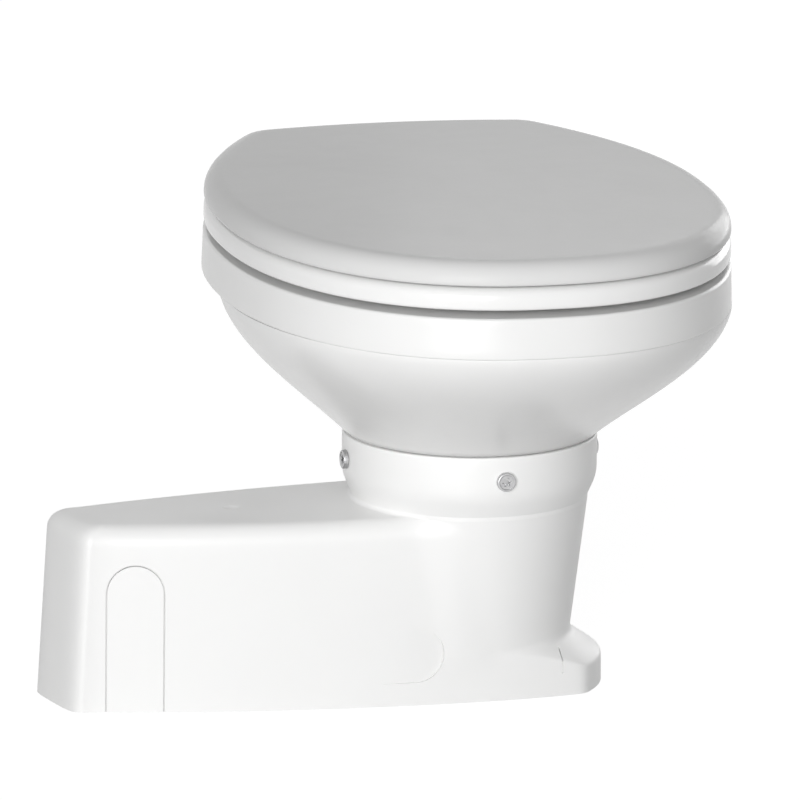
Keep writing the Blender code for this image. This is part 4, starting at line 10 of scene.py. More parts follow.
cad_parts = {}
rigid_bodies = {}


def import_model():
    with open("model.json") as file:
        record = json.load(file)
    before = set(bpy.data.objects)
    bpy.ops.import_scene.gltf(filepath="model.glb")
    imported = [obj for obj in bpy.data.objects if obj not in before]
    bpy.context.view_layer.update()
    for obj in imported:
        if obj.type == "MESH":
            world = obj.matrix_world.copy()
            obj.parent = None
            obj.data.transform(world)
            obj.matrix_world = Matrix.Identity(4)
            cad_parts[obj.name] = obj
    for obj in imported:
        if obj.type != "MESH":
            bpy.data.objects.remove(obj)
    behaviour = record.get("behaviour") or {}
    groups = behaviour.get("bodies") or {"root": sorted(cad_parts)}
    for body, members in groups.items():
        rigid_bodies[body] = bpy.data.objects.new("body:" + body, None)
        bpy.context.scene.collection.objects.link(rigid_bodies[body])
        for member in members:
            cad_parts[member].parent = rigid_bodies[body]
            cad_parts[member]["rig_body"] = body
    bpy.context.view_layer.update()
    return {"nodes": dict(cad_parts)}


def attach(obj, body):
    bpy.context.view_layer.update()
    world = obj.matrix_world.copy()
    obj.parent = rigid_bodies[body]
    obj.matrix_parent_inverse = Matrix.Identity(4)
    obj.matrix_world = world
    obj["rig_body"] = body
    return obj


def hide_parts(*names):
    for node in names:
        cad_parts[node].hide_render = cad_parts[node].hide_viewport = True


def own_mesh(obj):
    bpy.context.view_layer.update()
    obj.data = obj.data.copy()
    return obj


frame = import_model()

# The studio: a long lens a little left of and above the front, a pale sheet of paper for a floor,
# a broad soft lamp beside the camera, two weaker ones behind and a pale room all round.

VIEW_TURN = math.radians(-16.20)
VIEW_HEIGHT = math.radians(13.41)
VIEW_ROLL = math.radians(0.64)
VIEW_DISTANCE = 8.467
VIEW_PIXELS = 12000.0
PICTURE_PIXELS = 800.0
SENSOR_WIDTH = 36.0
CLIP_NEAR = 0.1
CLIP_FAR = 200.0
AIM_POINT = Vector((0.0, 0.0, 0.150))
AIM_PIXEL = (469.1, 469.9)

across = Vector((math.cos(VIEW_TURN), math.sin(VIEW_TURN), 0.0))
ahead = Vector((-math.sin(VIEW_TURN) * math.cos(VIEW_HEIGHT), math.cos(VIEW_TURN) * math.cos(VIEW_HEIGHT),
                -math.sin(VIEW_HEIGHT)))
upright = across.cross(ahead)
right = across * math.cos(VIEW_ROLL) + upright * math.sin(VIEW_ROLL)
top = upright * math.cos(VIEW_ROLL) - across * math.sin(VIEW_ROLL)
middle = PICTURE_PIXELS / 2.0
aside = (AIM_PIXEL[0] - middle) / VIEW_PIXELS * VIEW_DISTANCE
above = -(AIM_PIXEL[1] - middle) / VIEW_PIXELS * VIEW_DISTANCE
eye = AIM_POINT - ahead * VIEW_DISTANCE - right * aside - top * above


def placed(name, data):
    """A new object in the scene."""
    obj = bpy.data.objects.new(name, data)
    bpy.context.scene.collection.objects.link(obj)
    return obj


camera_data = bpy.data.cameras.new("photo_camera")
camera_data.sensor_width = SENSOR_WIDTH
camera_data.lens = VIEW_PIXELS / PICTURE_PIXELS * SENSOR_WIDTH
camera_data.clip_start = CLIP_NEAR
camera_data.clip_end = CLIP_FAR
camera = placed("photo_camera", camera_data)
camera.matrix_world = Matrix.Translation(eye) @ Matrix((right, top, -ahead)).transposed().to_4x4()
bpy.context.scene.camera = camera
bpy.context.scene.view_settings.view_transform = "Standard"


def soft_lamp(name, turn, height, distance, size, power):
    """A square lamp that faces the toilet, placed by its turn from the front and its height in degrees."""
    data = bpy.data.lights.new(name, "AREA")
    data.shape = "SQUARE"
    data.size = size
    data.energy = power
    turn, height = math.radians(turn), math.radians(height)
    way = Vector((math.sin(turn) * math.cos(height), -math.cos(turn) * math.cos(height), math.sin(height)))
    lamp = placed(name, data)
    lamp.location = AIM_POINT + way * distance
    lamp.rotation_euler = (-way).to_track_quat("-Z", "Y").to_euler()


soft_lamp("front_softbox", turn=-27.0, height=10.0, distance=3.2, size=1.5, power=73.0)
soft_lamp("back_softbox", turn=150.0, height=30.0, distance=3.5, size=1.8, power=8.0)
soft_lamp("rear_softbox", turn=132.0, height=10.0, distance=3.5, size=1.8, power=26.0)


def node(tree, kind, inputs=None, **settings):
    """A shader node with these settings, and plain values on the inputs named."""
    made = tree.nodes.new("ShaderNode" + kind)
    for setting, value in settings.items():
        setattr(made, setting, value)
    for socket, value in (inputs or {}).items():
        made.inputs[socket].default_value = value
    return made


def wire(tree, *runs):
    """Links nodes. Each run is a node, its output, the node that takes it and the input there."""
    for giver, output, taker, socket in runs:
        tree.links.new(giver.outputs[output], taker.inputs[socket])


def seen_directly(tree, taker, socket):
    """Feeds 1 to an input for straight, mirrored and refracted rays, and 0 for scattered light."""
    path = node(tree, "LightPath")
    bent = node(tree, "Math", operation="MAXIMUM")
    either = node(tree, "Math", operation="MAXIMUM")
    wire(tree, (path, "Is Glossy Ray", bent, 0), (path, "Is Transmission Ray", bent, 1),
         (path, "Is Camera Ray", either, 0), (bent, "Value", either, 1), (either, "Value", taker, socket))


ROOM_LIGHT = 0.33
world = bpy.data.worlds.new("pale_room")
world.use_nodes = True
bpy.context.scene.world = world
room = world.node_tree
room_background = room.nodes["Background"]
room_background.inputs["Color"].default_value = (1.0, 1.0, 1.0, 1.0)
room_strength = node(room, "MapRange", {"To Min": ROOM_LIGHT, "To Max": 1.0})
seen_directly(room, room_strength, "Value")
wire(room, (room_strength, "Result", room_background, "Strength"))

PAPER_GLOW = 0.90
PAPER_SHADED_TONE = 0.22
PAPER_BOUNCE_TONE = 0.54
FLOOR_SIZE = 60.0
paper = bpy.data.materials.new("paper_floor")
paper.use_nodes = True
sheet = paper.node_tree
sheet.nodes.clear()
glow = node(sheet, "Emission", {"Strength": PAPER_GLOW})
shaded = node(sheet, "BsdfDiffuse", {"Color": (*[PAPER_SHADED_TONE] * 3, 1.0)})
plain = node(sheet, "BsdfDiffuse", {"Color": (*[PAPER_BOUNCE_TONE] * 3, 1.0)})
lit = node(sheet, "AddShader")
either = node(sheet, "MixShader")
surface = node(sheet, "OutputMaterial")
seen_directly(sheet, either, "Fac")
wire(sheet, (glow, "Emission", lit, 0), (shaded, "BSDF", lit, 1), (plain, "BSDF", either, 1),
     (lit, "Shader", either, 2), (either, "Shader", surface, "Surface"))

maker = bmesh.new()
bmesh.ops.create_grid(maker, x_segments=1, y_segments=1, size=FLOOR_SIZE)
floor_mesh = bpy.data.meshes.new("floor")
maker.to_mesh(floor_mesh)
maker.free()
floor = placed("floor", floor_mesh)
floor.data.materials.append(paper)

# Mounting plate: a black ribless plate that lies on the boat's floor inside the shell, with two
# cradles that the motor lies in. It is injection moulded, and the shell clips down over it.

WELD_DISTANCE = 0.000001
SHARP_ANGLE = math.radians(35.0)
FLAT_ANGLE = math.radians(0.5)
COAT_ROUGHNESS = 0.05
TONE_SPAN = (0.35, 0.65)
SHEEN_SPAN = (0.30, 0.70)
MOULDED_EDGE = 0.0004
DARK_GREY = (0.040, 0.041, 0.044)
BLACK_GREY = (0.028, 0.028, 0.030)


def effect(name, scale, extra=()):
    """A node group from a place and a scale to relief, tone and sheen, still empty, with its two end nodes."""
    group = bpy.data.node_groups.new(name, "ShaderNodeTree")
    sockets = (("Place", "NodeSocketVector", None), ("Scale", "NodeSocketFloat", scale), *extra)
    for socket, kind, value in sockets:
        made = group.interface.new_socket(name=socket, in_out="INPUT", socket_type=kind)
        if value is not None:
            made.default_value = value
    for socket in ("Height", "Tone", "Sheen"):
        group.interface.new_socket(name=socket, in_out="OUTPUT", socket_type="NodeSocketFloat")
    return group, group.nodes.new("NodeGroupInput"), group.nodes.new("NodeGroupOutput")


def noise_in(group, place, scale, detail, roughness=0.5):
    """A noise inside a group. Its place, its scale and what it gives are each a node and an output."""
    noise = node(group, "TexNoise", {"Detail": detail, "Roughness": roughness})
    wire(group, (*place, noise, "Vector"), (*scale, noise, "Scale"))
    return noise, "Fac"


def spread_in(group, value, span, taker, socket):
    """Spreads the middle of a noise's range over 0 to 1 and feeds it to an input."""
    spread = node(group, "MapRange", {"From Min": span[0], "From Max": span[1]})
    wire(group, (*value, spread, "Value"), (spread, "Result", taker, socket))


def product_in(group, value, factor):
    """A value times a plain number."""
    product = node(group, "Math", {1: factor}, operation="MULTIPLY")
    wire(group, (*value, product, 0))
    return product, "Value"


def grained(name, scale, detail, tone_share, sheen_share, sheen_detail=2.0, sheen_roughness=0.5):
    """An effect of three noises: the relief at its scale, the tone and the sheen at shares of it."""
    group, start, end = effect(name, scale)
    place, size = (start, "Place"), (start, "Scale")
    wire(group, (*noise_in(group, place, size, detail), end, "Height"))
    tone = noise_in(group, place, product_in(group, size, tone_share), detail=2.0)
    sheen = noise_in(group, place, product_in(group, size, sheen_share), sheen_detail, sheen_roughness)
    spread_in(group, tone, TONE_SPAN, end, "Tone")
    spread_in(group, sheen, SHEEN_SPAN, end, "Sheen")
    return group


grain = grained("moulding_grain", scale=900.0, detail=1.0, tone_share=0.015, sheen_share=0.06,
                sheen_detail=3.0, sheen_roughness=0.6)


def surface_finish(name, group, settings, light, dark, rough, relief, metallic=0.0, specular=0.5, coat=0.0):
    """A material whose tone, roughness and relief come from one of the effect groups."""
    made = bpy.data.materials.new(name)
    made.use_nodes = True
    tree = made.node_tree
    shader = tree.nodes["Principled BSDF"]
    shader.inputs["Metallic"].default_value = metallic
    shader.inputs["Specular IOR Level"].default_value = specular
    shader.inputs["Coat Weight"].default_value = coat
    shader.inputs["Coat Roughness"].default_value = COAT_ROUGHNESS
    place = node(tree, "TexCoord")
    pattern = node(tree, "Group", settings, node_tree=group)
    tone = node(tree, "Mix", {"A": (*light, 1.0), "B": (*dark, 1.0)}, data_type="RGBA")
    gloss = node(tree, "MapRange", {"To Min": rough[0], "To Max": rough[1]})
    bump = node(tree, "Bump", {"Strength": 1.0, "Distance": relief})
    wire(tree, (place, "Object", pattern, "Place"), (pattern, "Tone", tone, "Factor"),
         (pattern, "Sheen", gloss, "Value"), (pattern, "Height", bump, "Height"),
         (tone, "Result", shader, "Base Color"), (gloss, "Result", shader, "Roughness"),
         (bump, "Normal", shader, "Normal"))
    return made


def finished_mesh(maker, name):
    """Closes a bmesh into a smooth mesh whose faces look outwards."""
    bmesh.ops.recalc_face_normals(maker, faces=maker.faces)
    mesh = bpy.data.meshes.new(name)
    maker.to_mesh(mesh)
    maker.free()
    mesh.shade_smooth()
    mesh.set_sharp_from_angle(angle=SHARP_ANGLE)
    return mesh


def stand_for(node_name, mesh, finish, edge=0.0):
    """The piece that stands for a node, on the node's body, with its edges broken by the given width."""
    mesh.materials.clear()
    mesh.materials.append(finish)
    piece = placed(node_name + "_piece", mesh)
    if edge > 0.0:
        broken = piece.modifiers.new("broken_edges", "BEVEL")
        broken.width = edge
        broken.segments = 2
        broken.limit_method = "ANGLE"
        broken.angle_limit = SHARP_ANGLE
        broken.harden_normals = True
    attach(piece, frame["nodes"][node_name]["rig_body"])
    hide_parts(node_name)
    return piece


def dressed(node_name, finish, edge):
    """A piece that keeps its solid's shape, with its corners joined, its curves smooth and its edges broken."""
    maker = bmesh.new()
    maker.from_mesh(frame["nodes"][node_name].data)
    bmesh.ops.remove_doubles(maker, verts=maker.verts, dist=WELD_DISTANCE)
    bmesh.ops.dissolve_limit(maker, angle_limit=FLAT_ANGLE, verts=maker.verts, edges=maker.edges)
    return stand_for(node_name, finished_mesh(maker, node_name + "_piece"), finish, edge)


dark_moulding = surface_finish("dark_moulding", grain, {"Scale": 700.0}, DARK_GREY, BLACK_GREY,
                               rough=(0.42, 0.54), relief=0.000012)
dressed("mounting_plate", dark_moulding, MOULDED_EDGE)

# Sump: a black moulded pot that hangs by its flange in the collar and stands on the plate, with the
# pump's round port in its side. The bowl's spigot drains into it.

dressed("sump", dark_moulding, MOULDED_EDGE)

# Bowl seal and spigot seal: two rings of black rubber, one squeezed between the bowl's foot ring and
# the sump's flange, the other round the spigot. Both are moulded and only pressed in.

RUBBER_EDGE = 0.0003
RUBBER_LIGHT = (0.022, 0.022, 0.022)
RUBBER_DARK = (0.014, 0.014, 0.015)
black_rubber = surface_finish("black_rubber", grain, {"Scale": 1500.0}, RUBBER_LIGHT, RUBBER_DARK,
                              rough=(0.62, 0.76), relief=0.000010)
for ring_name in ("bowl_seal", "spigot_seal"):
    dressed(ring_name, black_rubber, RUBBER_EDGE)

# Macerator: the pump housing on the sump's port, with the ring of holes that the waste is cut
# against and the back plate that carries the motor. Mouldings, and a stamped steel shear plate.

STEEL_LIGHT = (0.60, 0.60, 0.61)
STEEL_DARK = (0.50, 0.50, 0.52)
PUNCHED_EDGE = 0.0002

lines, lines_start, lines_end = effect("drawn_lines", 120.0,
                                       (("Direction", "NodeSocketVector", (1.0, 1.0, 18.0)),))
stretched = node(lines, "VectorMath", operation="MULTIPLY")
wire(lines, (lines_start, "Place", stretched, 0), (lines_start, "Direction", stretched, 1))
scratches = noise_in(lines, (stretched, "Vector"), (lines_start, "Scale"), detail=4.0, roughness=0.7)
wire(lines, (*scratches, lines_end, "Height"))
spread_in(lines, scratches, SHEEN_SPAN, lines_end, "Sheen")
spread_in(lines, noise_in(lines, (lines_start, "Place"), (lines_start, "Scale"), detail=2.0), TONE_SPAN,
          lines_end, "Tone")

drawn_steel = surface_finish("drawn_steel", lines, {"Scale": 160.0}, STEEL_LIGHT, STEEL_DARK,
                             rough=(0.20, 0.36), relief=0.000006, metallic=1.0)
for moulding_name in ("macerator_housing", "back_plate"):
    dressed(moulding_name, dark_moulding, MOULDED_EDGE)
dressed("shear_plate", drawn_steel, PUNCHED_EDGE)

# Shaft seal and bearings: a rubber lip seal behind the impeller and the motor's two ball bearings,
# pressed into the back plate and the end cap.

dressed("shaft_seal", black_rubber, RUBBER_EDGE)
for bearing_name in ("front_bearing", "rear_bearing"):
    dressed(bearing_name, drawn_steel, PUNCHED_EDGE)

# Rotor: the steel shaft with the armature's stack of stamped sheets, the nylon impeller and the
# two-armed blade at its front end. The stack is pressed on, and the impeller and blade are keyed.

NYLON_LIGHT = (0.86, 0.86, 0.845)
NYLON_DARK = (0.83, 0.83, 0.815)
STACK_LIGHT = (0.32, 0.32, 0.33)
STACK_DARK = (0.22, 0.22, 0.23)
MACHINED_EDGE = 0.0003
white_nylon = surface_finish("white_nylon", grain, {"Scale": 850.0}, NYLON_LIGHT, NYLON_DARK,
                             rough=(0.34, 0.46), relief=0.000008)
sheet_stack = surface_finish("sheet_stack", lines, {"Scale": 60.0, "Direction": (30.0, 1.0, 1.0)},
                             STACK_LIGHT, STACK_DARK, rough=(0.36, 0.52), relief=0.000040, metallic=1.0)
dressed("motor_shaft", drawn_steel, MACHINED_EDGE)
dressed("armature", sheet_stack, PUNCHED_EDGE)
dressed("impeller", white_nylon, MOULDED_EDGE)
dressed("chopper_blade", drawn_steel, PUNCHED_EDGE)

# Motor: a drawn steel can with black enamel, its ferrite magnets glued inside it and an end cap
# over its rear bearing. The can's flange is screwed to the back plate.

ENAMEL_BLACK = (0.050, 0.050, 0.054)
ENAMEL_WORN = (0.036, 0.036, 0.039)
FERRITE_LIGHT = (0.115, 0.115, 0.120)
FERRITE_DARK = (0.075, 0.075, 0.080)
black_enamel = surface_finish("black_enamel", grain, {"Scale": 320.0}, ENAMEL_BLACK, ENAMEL_WORN,
                              rough=(0.24, 0.36), relief=0.000010, coat=0.3)
ferrite = surface_finish("ferrite", grain, {"Scale": 2200.0}, FERRITE_LIGHT, FERRITE_DARK,
                         rough=(0.48, 0.66), relief=0.000012)
dressed("motor_can", black_enamel, MACHINED_EDGE)
dressed("magnet_ring", ferrite, PUNCHED_EDGE)
dressed("motor_end_cap", black_enamel, MACHINED_EDGE)

# Discharge: the pipe from the pump round to the front port, a duckbill valve of black rubber that
# stops the waste coming back, and the barbed connector for the boat's hose.

dressed("discharge_pipe", dark_moulding, MOULDED_EDGE)
dressed("duckbill_valve", black_rubber, 0.0)
dressed("discharge_connector", dark_moulding, PUNCHED_EDGE)

# Rinse valve: a moulded block on the sump's back with two barbs, a coil on top, and a steel plunger
# that a small spring holds shut.

dressed("rinse_valve", dark_moulding, MOULDED_EDGE)
dressed("valve_coil", black_enamel, MACHINED_EDGE)
dressed("valve_plunger", drawn_steel, PUNCHED_EDGE)

# Valve spring: a coil of hard steel wire over the plunger. It is wound with closed ends; the real spring
# shortens as the plunger lifts, and here it is drawn at one length.

spring = dressed("valve_spring", drawn_steel, 0.0)
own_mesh(spring)

# Base shell: the white outer moulding, a box with a flat top that runs into a round pedestal, a
# collar and a low foot. Its wall is 4 mm thick, its sides lean in a little so that it leaves its
# mould, and grooves mark the hose ports that a fitter cuts out.

SHELL_WALL = 0.004
BASE_HALF_WIDTH = 0.0728
SIDE_ARC_RADIUS = 1.150
FOOT_SIDE_ARC_RADIUS = 0.420
FOOT_RADIUS = 0.0952
FOOT_EDGE_HEIGHT = 0.0203
FOOT_EDGE_ROUND = 0.0030
FOOT_SLOPE = math.tan(math.radians(28.0))
BASE_END = 0.3035
END_CORNER_LENGTH = 0.0115
END_EXPONENT = 3.6
END_SLANT = math.tan(math.radians(9.4))
SIDE_DRAFT = math.tan(math.radians(0.9))
END_DRAFT = math.tan(math.radians(3.0))
BOX_HEIGHT = 0.133
BOX_EDGE_RADIUS = 0.014
PEDESTAL_FOOT_RADIUS = 0.0723
PEDESTAL_FOOT_HEIGHT = 0.036
PEDESTAL_FOOT_ROUND = 0.0050
PEDESTAL_TOP_RADIUS = 0.0843
PEDESTAL_TOP_HEIGHT = 0.137
PEDESTAL_BLEND = 0.014
PEDESTAL_BLEND_REACH = 0.030
TOP_CORNER_ROUND = 0.003
COLLAR_RADIUS = 0.090
COLLAR_START = 0.150
COLLAR_TOP = 0.180
COLLAR_BEND_ROUND = 0.006
COLLAR_LIP_ROUND = 0.0012
CLAMP_HEIGHT = 0.163
CLAMP_HOLE_RADIUS = 0.0034
RINSE_HOLE_RADIUS = 0.0068
RINSE_HEIGHT = 0.075
PORT_PLACE = 0.2590
PORT_WIDTH = 0.0405
PORT_HEIGHT = 0.1055
GROOVE_WIDTH = 0.0011
GROOVE_DEPTH = 0.0033
PAD_RADIUS = 0.0193
PAD_PLACE = 0.0575
PAD_HEIGHT = 0.0362
PAD_LENGTH = 0.050
PAD_PLANE = 0.0700
PAD_GROOVE = 0.0010
PAD_GROOVE_DEPTH = 0.0010
PAD_GROOVE_TOP = math.radians(48.0)
PAD_GROOVE_RUN = 0.024
SLIT_PLACE = 0.050
SLIT_WIDTH = 0.0011
SLIT_DEPTH = 0.0012
SLIT_BOTTOM = 0.0163
SLIT_REACH = 0.0115
DIMPLE_PLACE = 0.174
DIMPLE_RADIUS = 0.0065
DIMPLE_DEPTH = 0.0018
OVERRUN = 0.006
END_STATIONS = 22
SIDE_STATIONS = 44
FOOT_STATIONS = 40
ROUND_STEPS = 32
CONE_ROWS = 10
FILLET_ROWS = 9
TOP_ROWS = 5
CORNER_ROWS = 6
COLLAR_ROWS = 4
FOOT_EDGE_ROWS = 3
DIMPLE_ROWS = 6
FILLET_START = BOX_HEIGHT - BOX_EDGE_RADIUS
FOOT_BLEND = 0.003
STRAIGHT_BEND = 1.0e-6
MEETING_SHARE = 1.6
NECK_ROUND = 0.0009
ROUND_SHARE = 0.3
SPACING_SHARE = 0.8
SKIN_REACH = 0.00003
SKIN_LIKENESS = 0.94
SHELL_LIGHT = (0.900, 0.900, 0.895)
SHELL_DARK = (0.880, 0.880, 0.875)
QUARTER = math.pi / 2.0
LYING = Matrix.Rotation(QUARTER, 4, "X")


def between(first, last, count):
    """Even steps from one value to another, with both."""
    return [first + (last - first) * i / count for i in range(count + 1)]


def steps_between(first, last, count):
    """Even steps from one point to another, with both."""
    return [tuple(Vector(first).lerp(Vector(last), share)) for share in between(0.0, 1.0, count)]


def arc(x, y, radius, first, last, steps, rise=None):
    """Points on an arc round a centre, from one turn to another. An oval arc has its own rise."""
    rise = radius if rise is None else rise
    return [(x + radius * math.cos(turn), y + rise * math.sin(turn)) for turn in between(first, last, steps)]


def corner_curve(start, corner, end, share):
    """A point on the curve that leaves start and reaches end along their lines to the corner."""
    start, corner, end = Vector(start), Vector(corner), Vector(end)
    return tuple(start * (1.0 - share) ** 2 + corner * 2.0 * share * (1.0 - share) + end * share ** 2)


def rounded_corner(before, corner, after, reach, steps=5):
    """Points of a curve that rounds a corner of an outline, starting and ending at this reach from it."""
    corner = Vector(corner)
    start = corner + (Vector(before) - corner).normalized() * reach
    end = corner + (Vector(after) - corner).normalized() * reach
    return [corner_curve(start, corner, end, share) for share in between(0.0, 1.0, steps)]


def smooth_max(first, second, width):
    """The larger of two values, rounded over where they lie within the width of each other."""
    if width <= 0.0:
        return max(first, second)
    near = max(width - abs(first - second), 0.0) / width
    return max(first, second) + near * near * width / 4.0


def pedestal_radius(height):
    """Radius of the pedestal's cone, which widens upwards."""
    share = (height - PEDESTAL_FOOT_HEIGHT) / (PEDESTAL_TOP_HEIGHT - PEDESTAL_FOOT_HEIGHT)
    return PEDESTAL_FOOT_RADIUS + (PEDESTAL_TOP_RADIUS - PEDESTAL_FOOT_RADIUS) * share


def side_half_width(x):
    """Half of the base's width at the floor: two long arcs that meet at the pedestal's axis."""
    radius = FOOT_SIDE_ARC_RADIUS if x > 0.0 else SIDE_ARC_RADIUS
    return BASE_HALF_WIDTH - x * x / (2.0 * radius)


def slanted(x, y, height):
    """Sets a point of the box askew, so that its end wall stands at a slant to the box's length."""
    reach = max((-x - COLLAR_RADIUS) / (BASE_END - COLLAR_RADIUS), 0.0)
    return Vector((x - y * END_SLANT * reach * reach, y, height))


def box_point(station, inset, end_inset):
    """Plan point of the box's outline, moved in. Stations run from the end's middle to the axis."""
    end = BASE_END - end_inset
    if station <= 1.0:
        angle = station * QUARTER
        x = -end + END_CORNER_LENGTH * (1.0 - math.cos(angle) ** (2.0 / END_EXPONENT))
        y = (side_half_width(-end + END_CORNER_LENGTH) - inset) * math.sin(angle) ** (2.0 / END_EXPONENT)
        return x, y
    x = (-end + END_CORNER_LENGTH) * (2.0 - station)
    return x, side_half_width(x) - inset


def foot_radius(angle):
    """Distance from the axis to the foot's outline at the floor, by the angle from +X."""
    bend = math.cos(angle) ** 2 / (2.0 * FOOT_SIDE_ARC_RADIUS)
    if bend < STRAIGHT_BEND:
        return min(BASE_HALF_WIDTH / math.sin(angle), FOOT_RADIUS)
    side = (-math.sin(angle) + math.sqrt(math.sin(angle) ** 2 + 4.0 * bend * BASE_HALF_WIDTH)) / (2.0 * bend)
    return smooth_min(side, FOOT_RADIUS)


def smooth_min(first, second):
    """The smaller of two radii, rounded over where the foot's side meets its round end."""
    return -smooth_max(-first, -second, FOOT_BLEND)


def foot_ledge(radius):
    """Height of the foot's sloping ledge at this distance from the axis."""
    return FOOT_EDGE_HEIGHT + (FOOT_RADIUS - radius) * FOOT_SLOPE


def foot_rows(angle, inset):
    """Radius and height of the rows at one angle round the foot, from the floor to the box's fillet."""
    outer = foot_radius(angle) - inset
    ledge = foot_ledge(outer + inset) - inset
    floor_edge = (outer, 0.0)
    edge = (outer - ledge * SIDE_DRAFT, ledge)
    heel = (PEDESTAL_FOOT_RADIUS - inset, PEDESTAL_FOOT_HEIGHT - inset * ROUND_SHARE)
    cone_top = (pedestal_radius(FILLET_START) - inset, FILLET_START)
    slope = math.dist(edge, heel)
    edge_round = rounded_corner(floor_edge, edge, heel, min(FOOT_EDGE_ROUND, slope * ROUND_SHARE))
    heel_round = rounded_corner(edge, heel, cone_top, min(PEDESTAL_FOOT_ROUND, slope * ROUND_SHARE))
    rows = steps_between(floor_edge, edge_round[0], FOOT_EDGE_ROWS)[:-1] + edge_round
    rows.append(tuple(Vector(edge_round[-1]).lerp(Vector(heel_round[0]), 0.5)))
    return rows + heel_round + steps_between(heel_round[-1], cone_top, CONE_ROWS)[1:]


def pedestal_rows(inset, spread):
    """Radius and height of the rows above the box's top, from its corner with the cone to the collar's lip."""
    foot = pedestal_radius(BOX_HEIGHT) - inset
    rows = []
    for share in between(0.0, 1.0, CORNER_ROWS):
        turn = share * QUARTER
        rise = (1.0 - math.cos(turn)) * spread + (ROUND_SHARE + (1.0 - ROUND_SHARE) * share) * (1.0 - spread)
        rows.append((foot + TOP_CORNER_ROUND * (1.0 - math.sin(turn)) * spread,
                     BOX_HEIGHT - inset + TOP_CORNER_ROUND * rise))
    neck = (PEDESTAL_TOP_RADIUS - inset, PEDESTAL_TOP_HEIGHT - inset * ROUND_SHARE)
    bend = (COLLAR_RADIUS - inset, COLLAR_START - inset * ROUND_SHARE)
    lip = (COLLAR_RADIUS - inset, COLLAR_TOP)
    bend_round = rounded_corner(neck, bend, lip, COLLAR_BEND_ROUND)
    lip_round = rounded_corner(bend, lip, (COLLAR_RADIUS - SHELL_WALL, COLLAR_TOP), COLLAR_LIP_ROUND)
    rows += rounded_corner(rows[-1], neck, bend, NECK_ROUND)
    rows += bend_round + steps_between(bend_round[-1], lip_round[0] if not inset else lip, COLLAR_ROWS)[1:]
    return rows + ([] if inset else lip_round[1:])


def side_column(station, inset, arc_angle):
    """The shell's wall above one station of the box, from the floor to the collar's lip."""
    def wall(height, extra=0.0):
        straight = min(height, FILLET_START)
        x, y = box_point(station, straight * SIDE_DRAFT + inset + extra, straight * END_DRAFT + inset + extra)
        cone = pedestal_radius(height) - inset
        if height > PEDESTAL_FOOT_HEIGHT - PEDESTAL_FOOT_ROUND and abs(x) < cone:
            blend = PEDESTAL_BLEND * min(-x / PEDESTAL_BLEND_REACH, 1.0)
            y = smooth_max(y, math.sqrt(cone * cone - x * x), blend)
        return (x, y, height)

    points = [wall(height) for _, height in foot_rows(QUARTER, inset)]
    fillet = BOX_EDGE_RADIUS - inset
    for turn in between(0.0, QUARTER, FILLET_ROWS)[1:]:
        points.append(wall(FILLET_START + fillet * math.sin(turn), fillet * (1.0 - math.cos(turn))))
    x, y, _ = points[-1]
    beyond = math.hypot(x, y) - pedestal_radius(BOX_HEIGHT) + inset
    rows = pedestal_rows(inset, min(max(beyond / (2.0 * TOP_CORNER_ROUND), 0.0), 1.0))
    if arc_angle is None:
        arc_angle = math.atan2(y, x)
    above = [(radius * math.cos(arc_angle), radius * math.sin(arc_angle), height) for radius, height in rows]
    return points + steps_between(points[-1], above[0], TOP_ROWS)[1:-1] + above


def foot_column(angle, inset):
    """The shell's wall at one angle round the foot, with the same rows as the box's columns."""
    rows = foot_rows(angle, inset)
    for turn in between(0.0, QUARTER, FILLET_ROWS)[1:]:
        height = FILLET_START + (BOX_EDGE_RADIUS - inset) * math.sin(turn)
        rows.append((pedestal_radius(height) - inset, height))
    above = pedestal_rows(inset, 0.0)
    rows += steps_between(rows[-1], above[0], TOP_ROWS)[1:-1] + above
    return [(radius * math.cos(angle), radius * math.sin(angle), height) for radius, height in rows]


def shell_half(inset):
    """Columns of the shell's half at +Y, from the middle of the box's end round to the foot's tip."""
    sides = [1.0 + share ** SPACING_SHARE for share in between(0.0, 1.0, SIDE_STATIONS)[1:]]
    stations = between(0.0, 1.0, END_STATIONS) + sides
    rim = [Vector(box_point(station, BOX_EDGE_RADIUS, BOX_EDGE_RADIUS)) for station in stations]
    cone = pedestal_radius(BOX_HEIGHT) + MEETING_SHARE * TOP_CORNER_ROUND
    meeting = next(i for i, point in enumerate(rim) if point.length < cone)
    lengths = [0.0]
    for before, after in zip(rim, rim[1:]):
        lengths.append(lengths[-1] + (after - before).length)
    meeting_angle = math.atan2(rim[meeting].y, rim[meeting].x)
    columns = []
    for i, station in enumerate(stations):
        turn = math.pi - (math.pi - meeting_angle) * lengths[i] / lengths[meeting] if i < meeting else None
        columns.append(side_column(station, inset, turn))
    columns += [foot_column(angle, inset) for angle in between(QUARTER, 0.0, FOOT_STATIONS)[1:]]
    return columns


def lofted(rings, closed_loop=True, place=Matrix()):
    """A skin over rings of points, all of one count, set in place. Open ends are closed to a point."""
    maker = bmesh.new()
    rows = [[maker.verts.new(place @ Vector(point)) for point in ring] for ring in rings]
    pairs = list(zip(rows, rows[1:]))
    if closed_loop:
        pairs.append((rows[-1], rows[0]))
    count = len(rows[0])
    for lower, upper in pairs:
        for i in range(count):
            j = (i + 1) % count
            maker.faces.new((lower[i], lower[j], upper[j], upper[i]))
    if not closed_loop:
        for ring in (rows[0], rows[-1]):
            centre = maker.verts.new(sum((vertex.co for vertex in ring), Vector()) / count)
            for i in range(count):
                maker.faces.new((ring[i], ring[(i + 1) % count], centre))
    return finished_mesh(maker, "loft")


